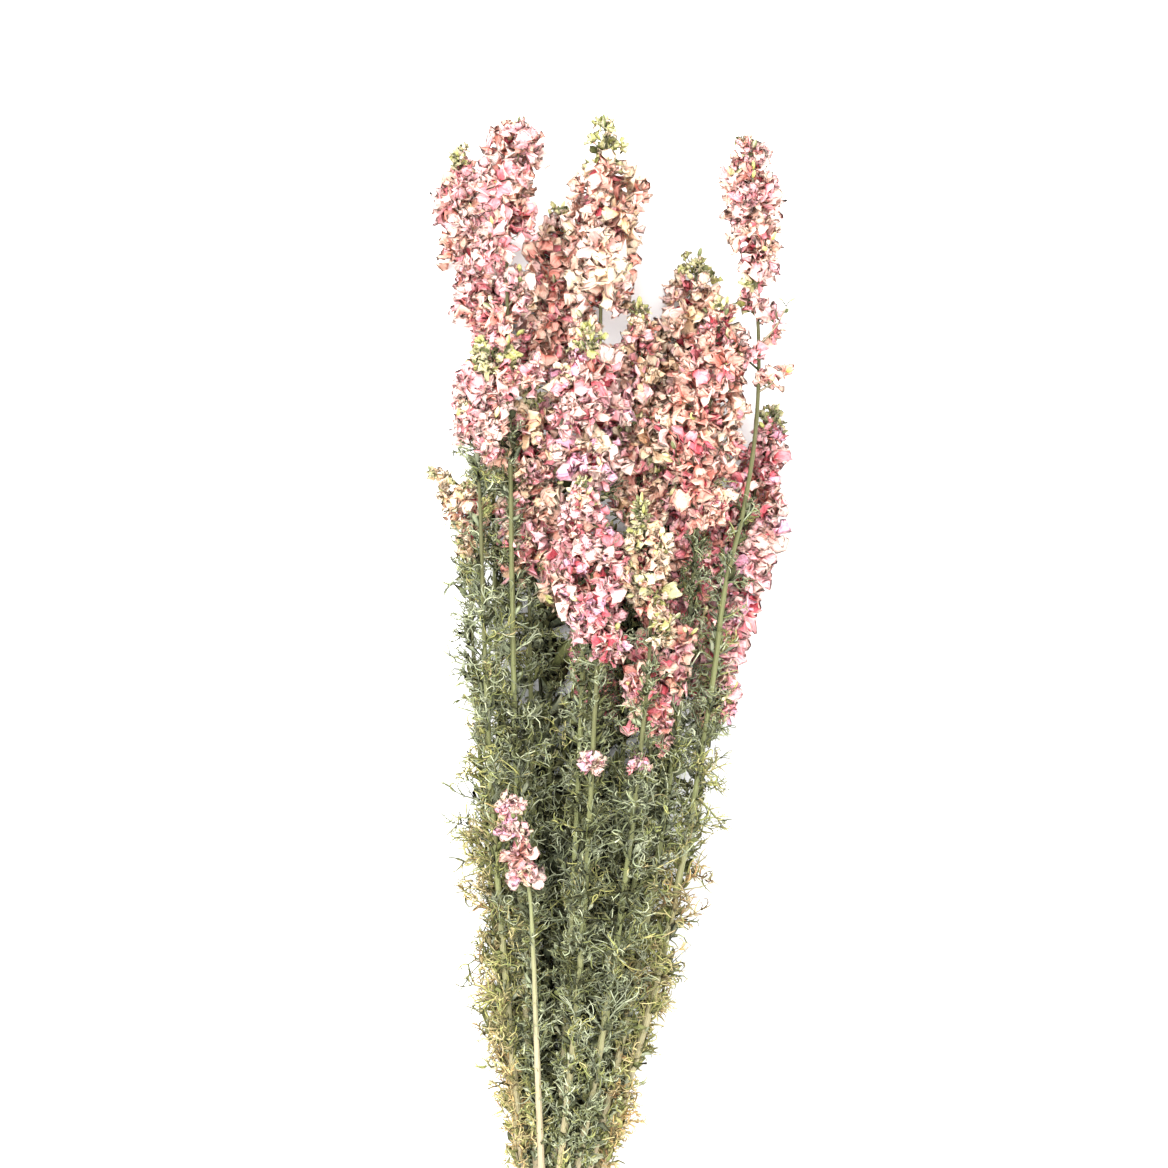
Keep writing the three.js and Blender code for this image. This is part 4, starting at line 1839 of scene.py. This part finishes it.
    def _petals(
        self, heap: Heap, whorl: Whorl, flowers: Flowers, tint: Tint, rng: np.random.Generator
    ) -> None:
        """Adds one whorl of petals to every flower.

        Args:
            heap: Where they go.
            whorl: The ring of petals.
            flowers: The flowers.
            tint: Their colours.
            rng: The source of chance.
        """
        each = np.repeat(np.arange(len(flowers)), whorl.petals)
        count = len(each)
        spin = rng.uniform(0, TAU, len(flowers))[each] + rng.normal(0, 0.28, count)
        spin = spin + np.tile(np.arange(whorl.petals) * TAU / whorl.petals, len(flowers))
        axis = flowers.axis[each]
        up = square_to(flowers.up[each], axis)
        ring = np.cos(spin)[:, None] * up + np.sin(spin)[:, None] * np.cross(axis, up)
        lean = whorl.lean + rng.normal(0, 0.3, count)
        size = flowers.scale[each] * rng.uniform(0.75, 1.2, count)
        points = PAPERY.sheets(
            start=flowers.heart[each],
            way=np.cos(lean)[:, None] * axis + np.sin(lean)[:, None] * ring,
            face=np.sin(lean)[:, None] * axis - np.cos(lean)[:, None] * ring,
            length=whorl.length * size,
            width=whorl.width * size * rng.uniform(0.75, 1.2, count),
            shell=whorl.shell,
            twist=whorl.twist,
            rng=rng,
        )
        shared = tint.columns(len(flowers), rng)[each]
        column = np.where(rng.random(count) < self.odd_petals, tint.columns(count, rng), shared)
        column = np.where(flowers.green[each], Tint.GREEN.columns(count, rng), column)
        heap.add(points, Net.of_shell(*whorl.shell), column, rng.integers(0, PETAL_ATLAS.rows, count))

    def _flower_stalks(self, heap: Heap, flowers: Flowers, rng: np.random.Generator) -> None:
        """Adds the short stalk of each flower, and a narrow bract beside it.

        Args:
            heap: Where they go.
            flowers: The flowers.
            rng: The source of chance.
        """
        count = len(flowers)
        t = np.linspace(0, 1, 4)[None, :, None]
        sag = rng.normal(0, 0.8 * MM, (count, 1, 3)) * np.sin(math.pi * t)
        paths = flowers.foot[:, None] * (1 - t) + flowers.heart[:, None] * t + sag
        away = unit(flowers.heart - flowers.foot)
        row = rng.integers(0, PETAL_ATLAS.rows, count)
        heap.add_tubes(paths, self.stalk_radius, across_of(away, rng), 3, column_of(Petal.OLIVE), row)
        heading = unit(away + across_of(away, rng) * 0.7)
        towards = across_of(heading, rng)
        length = rng.uniform(5, 11, count) * MM
        curl = rng.normal(0, 0.6, count)
        bracts = curled_paths(flowers.foot, heading, towards, length, curl, 0 * length, 3)
        radius = self.bract_radius * np.array([0.7, 1.3, 1.0, 0.3])
        heap.add_tubes(bracts, radius, np.cross(heading, towards), 3, column_of(Petal.BRACT), row)

    def _hearts(self, heap: Heap, flowers: Flowers, tint: Tint, rng: np.random.Generator) -> None:
        """Adds each flower's pale green heart and its spur, which points back past the stem.

        Args:
            heap: Where they go.
            flowers: The flowers.
            tint: Their colours.
            rng: The source of chance.
        """
        count = len(flowers)
        axis, scale = flowers.axis, flowers.scale[:, None]
        swell = np.array([0.35, 0.95, 1.0, 0.25])
        depth = np.linspace(-0.8, 3.4, 4)[None, :, None] * MM * scale[..., None]
        paths = flowers.heart[:, None] + axis[:, None] * depth
        radius = self.heart_radius * swell[None] * scale
        column = rng.choice([column_of(p) for p in (Petal.LIME, Petal.PALE_GREEN, Petal.BROWN)], count)
        row = rng.integers(0, PETAL_ATLAS.rows, count)
        heap.add_tubes(paths, radius, across_of(axis, rng), 5, column, row)
        heading = unit(-axis + across_of(axis, rng) * 1.1)
        towards = across_of(heading, rng)
        length = rng.uniform(6, 10, count) * MM * flowers.scale
        curl = rng.normal(0, 0.5, count)
        spurs = curled_paths(flowers.heart, heading, towards, length, curl, 0 * length, 4)
        radius = self.spur_radius * np.array([1.0, 0.85, 0.65, 0.45, 0.25])[None] * scale
        heap.add_tubes(spurs, radius, np.cross(heading, towards), 4, tint.columns(count, rng), row)

    def _buds(self, heap: Heap, start: Array, heading: Array, rng: np.random.Generator) -> None:
        """Adds closed buds on thin stalks.

        Args:
            heap: Where they go.
            start: Where their stalks grow.
            heading: The unit directions in which those set off.
            rng: The source of chance.
        """
        count = len(start)
        if not count:
            return
        towards = across_of(heading, rng)
        length = rng.uniform(3, 8, count) * MM
        paths = curled_paths(start, heading, towards, length, rng.normal(0, 0.4, count), 0 * length, 3)
        flat = np.cross(heading, towards)
        row = rng.integers(0, PETAL_ATLAS.rows, count)
        heap.add_tubes(paths, self.bud_stalk_radius, flat, 3, column_of(Petal.OLIVE), row)
        swell = np.array([0.3, 0.85, 1.0, 0.8, 0.2])
        onward = unit(paths[:, -1] - paths[:, -2])
        beyond = np.linspace(-0.5, 5.8, 5)[None, :, None] * MM * rng.uniform(0.8, 1.3, (count, 1, 1))
        bud_paths = paths[:, -1][:, None] + onward[:, None] * beyond
        radius = self.bud_radius * swell[None] * rng.uniform(0.75, 1.25, (count, 1))
        column = rng.choice([column_of(p) for p in (Petal.LIME, Petal.PALE_GREEN, Petal.BRACT)], count)
        heap.add_tubes(bud_paths, radius, across_of(onward, rng), 6, column, row)


# ---- the tie ----


@dataclass
class RubberBand:
    """The tie: one long rubber band wound several times round the stems."""

    stalks: list[Stalk]
    turns: int = 5
    thickness: float = 1.05 * MM
    looseness: float = 0.45 * MM
    steps: int = 96
    sides: int = 8

    def build(self, finish: bpy.types.Material, rng: np.random.Generator) -> bpy.types.Object:
        """Winds the band.

        In each direction the band lies as far out as the furthest stem does, plus its own thickness: its
        path is the outline whose tangent lines are at that distance. The turns lie side by side over the
        width of the frame's band, and wander a little over one another.

        Args:
            finish: The rubber's material.
            rng: The source of chance.

        Returns:
            The band.
        """
        low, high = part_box("rubber_band")
        middle = 0.5 * (low[1] + high[1])
        centres = np.array([stalk.points(np.array([middle]))[0][[0, 2]] for stalk in self.stalks])
        radii = np.array([stalk.radius(np.array([middle]))[0] for stalk in self.stalks])
        angle = TAU * np.arange(self.steps) / self.steps
        out = np.stack([np.cos(angle), np.sin(angle)], axis=-1)
        support = (out @ centres.T + radii).max(axis=1) + self.thickness + self.looseness
        slope = (np.roll(support, -1) - np.roll(support, 1)) / (2 * TAU / self.steps)
        along_edge = np.stack([-out[:, 1], out[:, 0]], axis=-1)
        outline = out * support[:, None] + along_edge * slope[:, None]
        heap = Heap(Atlas(columns=1, rows=self.turns, inset=0.02))
        level = np.linspace(low[1] + self.thickness, high[1] - self.thickness, self.turns)
        wander = rng.uniform(0, TAU, self.turns)[:, None]
        slow, fast = np.sin(angle[None] + wander), np.sin(2 * angle[None] - wander)
        y = level[:, None] + 0.5 * MM * slow + 0.3 * MM * fast
        puff = 1.0 + 0.018 * np.sin(angle[None] * 2 + 2.1 * wander)
        centre = outline.mean(axis=0)
        ring = centre + (outline - centre)[None] * puff[..., None]
        path = np.stack([ring[..., 0], y, ring[..., 1]], axis=-1)
        points, net = self._loops(path)
        heap.add(points, net, np.zeros(self.turns, int), np.arange(self.turns))
        made = heap.piece("rubber_band_turns", finish, 0.4 * MM)
        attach(made, "root")
        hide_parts("rubber_band")
        return made

    def _loops(self, path: Array) -> tuple[Array, Net]:
        """Carries a round section along closed loops.

        Args:
            path: The loops, as (loops, steps, 3).

        Returns:
            The points, and how those of one loop join.
        """
        sides = self.sides
        ahead = unit(np.roll(path, -1, axis=1) - np.roll(path, 1, axis=1))
        flat = unit(np.array([0.0, 1.0, 0.0]) - ahead * ahead[..., 1:2])
        other = np.cross(ahead, flat)
        angle = TAU * np.arange(sides) / sides
        ring = flat[:, :, None] * np.cos(angle)[:, None] + other[:, :, None] * np.sin(angle)[:, None]
        points = (path[:, :, None] + ring * self.thickness).reshape(len(path), -1, 3)
        step, side = np.meshgrid(np.arange(self.steps), np.arange(sides), indexing="ij")
        on, after = (step + 1) % self.steps, (side + 1) % sides
        quads = quads_between(step * sides, on * sides, side, after)
        left, right = side / sides, (side + 1) / sides
        near, far = step / self.steps, (step + 1) / self.steps
        spots = corner_spots([(near, left), (near, right), (far, right), (far, left)])
        return points, Net(quads, spots)


# ---- the studio ----


@dataclass(frozen=True)
class Lamp:
    """A square lamp that shines at the middle of the table."""

    name: str
    place: tuple[float, float, float]
    size: float
    watts: float

    def hang(self) -> None:
        """Puts the lamp into the scene. It is tilted down by atan2(how far aside, how far up)."""
        data = bpy.data.lights.new(self.name, "AREA")
        data.size = self.size
        data.energy = self.watts
        lamp = bpy.data.objects.new(self.name, data)
        lamp.location = self.place
        towards = -np.array(self.place)
        tilt = math.atan2(math.hypot(towards[0], towards[1]), -towards[2])
        bearing = math.atan2(towards[1], towards[0]) - math.pi / 2
        lamp.rotation_euler = (tilt, 0.0, bearing)
        bpy.context.scene.collection.objects.link(lamp)


@dataclass
class Studio:
    """The pale table, soft light and a camera that looks straight down."""

    table_size: float = 8.0
    lens: float = 100.0
    sensor: float = 36.0
    view_width: float = 0.794
    view_middle: tuple[float, float, float] = (-0.0215, 0.0815, 0.055)
    window: Lamp = Lamp("window", place=(-0.85, 0.75, 2.2), size=2.2, watts=135.0)
    fill: Lamp = Lamp("fill", place=(1.4, -0.4, 1.8), size=1.6, watts=25.0)
    sky_colour: tuple[float, float, float, float] = (1.0, 0.99, 0.975, 1.0)
    sky_strength: float = 2.1

    def build(self) -> None:
        """Builds the table, the lights, the sky and the camera."""
        self._table()
        self.window.hang()
        self.fill.hang()
        self._sky()
        self._camera()
        bpy.context.scene.view_settings.view_transform = "Standard"

    def _table(self) -> None:
        """Lays the table at height nought."""
        half = 0.5 * self.table_size
        corners = np.array([[-half, -half, 0], [half, -half, 0], [half, half, 0], [-half, half, 0]])
        places = np.array([[0, 0], [1, 0], [1, 1], [0, 1]])
        face = np.array([[0, 1, 2, 3]])
        no_tris = np.zeros((0, 3), int)
        make_object("table", corners, face, no_tris, places, TableFinish().material())

    def _sky(self) -> None:
        """Lights the room evenly."""
        world = bpy.data.worlds.new("studio")
        world.use_nodes = True
        background = world.node_tree.nodes["Background"]
        background.inputs["Color"].default_value = self.sky_colour
        background.inputs["Strength"].default_value = self.sky_strength
        bpy.context.scene.world = world

    def _camera(self) -> None:
        """Sets the camera so that the view is as wide as stated at the height of the bunch's middle."""
        data = bpy.data.cameras.new("camera")
        data.lens = self.lens
        data.sensor_width = self.sensor
        camera = bpy.data.objects.new("camera", data)
        x, y, z = self.view_middle
        camera.location = (x, y, z + self.view_width * self.lens / self.sensor)
        camera.rotation_euler = (0.0, 0.0, 0.0)
        bpy.context.scene.collection.objects.link(camera)
        bpy.context.scene.camera = camera


# ---- the bunch ----


HABITS = {
    "far_left_tall": Habit(Tint.PINK, green_tip=0.08, shoots=4),
    "left_tall": Habit(Tint.PINK, shoots=6, shoots_below=110.0 * MM, bare_from=0.68),
    "centre_low": Habit(Tint.SALMON, shoots=6),
    "centre_tall": Habit(Tint.PEACH, green_tip=0.3, shoots=5, shoots_below=60.0 * MM, open_flower=True),
    "right_shoulder": Habit(Tint.PEACH, green_tip=0.14, shoots=6),
    "right_tall": Habit(Tint.PINK, spacing=4.4 * MM, shoots=9, shoots_below=100.0 * MM, bare_from=0.8),
    "far_right": Habit(
        Tint.BRIGHT,
        spacing=2.9 * MM,
        shoots=3,
        shoots_below=34.0 * MM,
        strays=(4.0 * MM, 18.0 * MM, 30.0 * MM),
        stray_tint=Tint.BEIGE,
    ),
    "front_upper": Habit(Tint.LILAC, green_tip=0.18, shoots=2),
    "front_lower": Habit(
        Tint.BRIGHT, petal_scale=0.9, spacing=3.1 * MM, shoots=3, bare_from=0.75, strays=(84.0 * MM,)
    ),
    "left_short": Habit(Tint.PINK, green_tip=0.3, shoots=5, bare_from=0.85),
    "left_inner": Habit(Tint.DULL, green_tip=0.18, shoots=6),
    "slender_pale": Habit(
        Tint.BEIGE, green_tip=0.3, petal_scale=0.75, spacing=2.9 * MM, shoots=3, strays=(104.0 * MM,)
    ),
    "right_inner": Habit(Tint.SALMON, shoots=5),
    "right_low": Habit(Tint.DEEP, shoots=4),
    "centre_back": Habit(Tint.DULL, shoots=6),
    "left_fringe": Habit(Tint.BEIGE, petal_scale=0.75),
    "low_back": Habit(Tint.DEEP, shoots=4),
    "low_right": Habit(Tint.DEEP, dryness=0.6, shoots=3),
    "front_sprig": Habit(
        Tint.PINK,
        spacing=40.0 * MM,
        shoots=0,
        bare_from=0.0,
        upper_side=True,
        strays=(-15.0 * MM, -44.0 * MM, -58.0 * MM),
    ),
}


THIN_BARK = StemFinish()
THICK_BARK = StemFinish(middle=(176, 164, 134), tip=(120, 130, 84))


@dataclass
class Bunch:
    """The whole bunch: every stalk's stem, leaves and flowers, and the band."""

    nodes: dict[str, bpy.types.Object]
    seed: int = 7
    pieces: list[bpy.types.Object] = field(default_factory=list)

    def build(self) -> None:
        """Builds every piece, stalk by stalk, and reports each one."""
        thin_bark = THIN_BARK.material("dried_stem")
        thick_bark = THICK_BARK.material("thick_dried_stem")
        leaf_finish = LeafFinish().material()
        petal_finish = PetalFinish().material()
        stalks = {name: Stalk.from_node(name, self.nodes[f"stem_{name}"]) for name in HABITS}
        outline = Outline.of_stalks(list(stalks.values()))
        for index, (name, habit) in enumerate(HABITS.items()):
            rng = np.random.default_rng([self.seed, index])
            stalk = stalks[name]
            leaf_room = Sleeve.from_node(stalk, self.nodes[f"leaves_{name}"])
            flower_room = Sleeve.from_node(stalk, self.nodes[f"flowers_{name}"])
            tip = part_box(f"flowers_{name}")[1][1]
            bark = thick_bark if habit.upper_side else thin_bark
            self._report(Stem(stalk).build(bark, rng))
            self._report(Foliage(stalk, leaf_room, outline, habit).build(leaf_finish, rng))
            self._report(FlowerSpike(stalk, flower_room, tip, habit).build(petal_finish, rng))
        band_rng = np.random.default_rng([self.seed, len(HABITS)])
        self._report(RubberBand(list(stalks.values())).build(RubberFinish().material(), band_rng))

    def _report(self, piece: bpy.types.Object) -> None:
        """Keeps a finished piece and says how large it is.

        Args:
            piece: The piece.
        """
        self.pieces.append(piece)
        log.info("%s: %d faces", piece.name, len(piece.data.polygons))


def main() -> None:
    """Loads the frame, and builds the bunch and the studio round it."""
    logging.basicConfig(level=logging.INFO, format="%(message)s")
    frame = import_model()
    bunch = Bunch(frame["nodes"])
    bunch.build()
    Studio().build()
    faces = sum(len(piece.data.polygons) for piece in bunch.pieces)
    log.info("%d pieces, %d faces", len(bunch.pieces), faces)


if __name__ == "__main__":
    main()
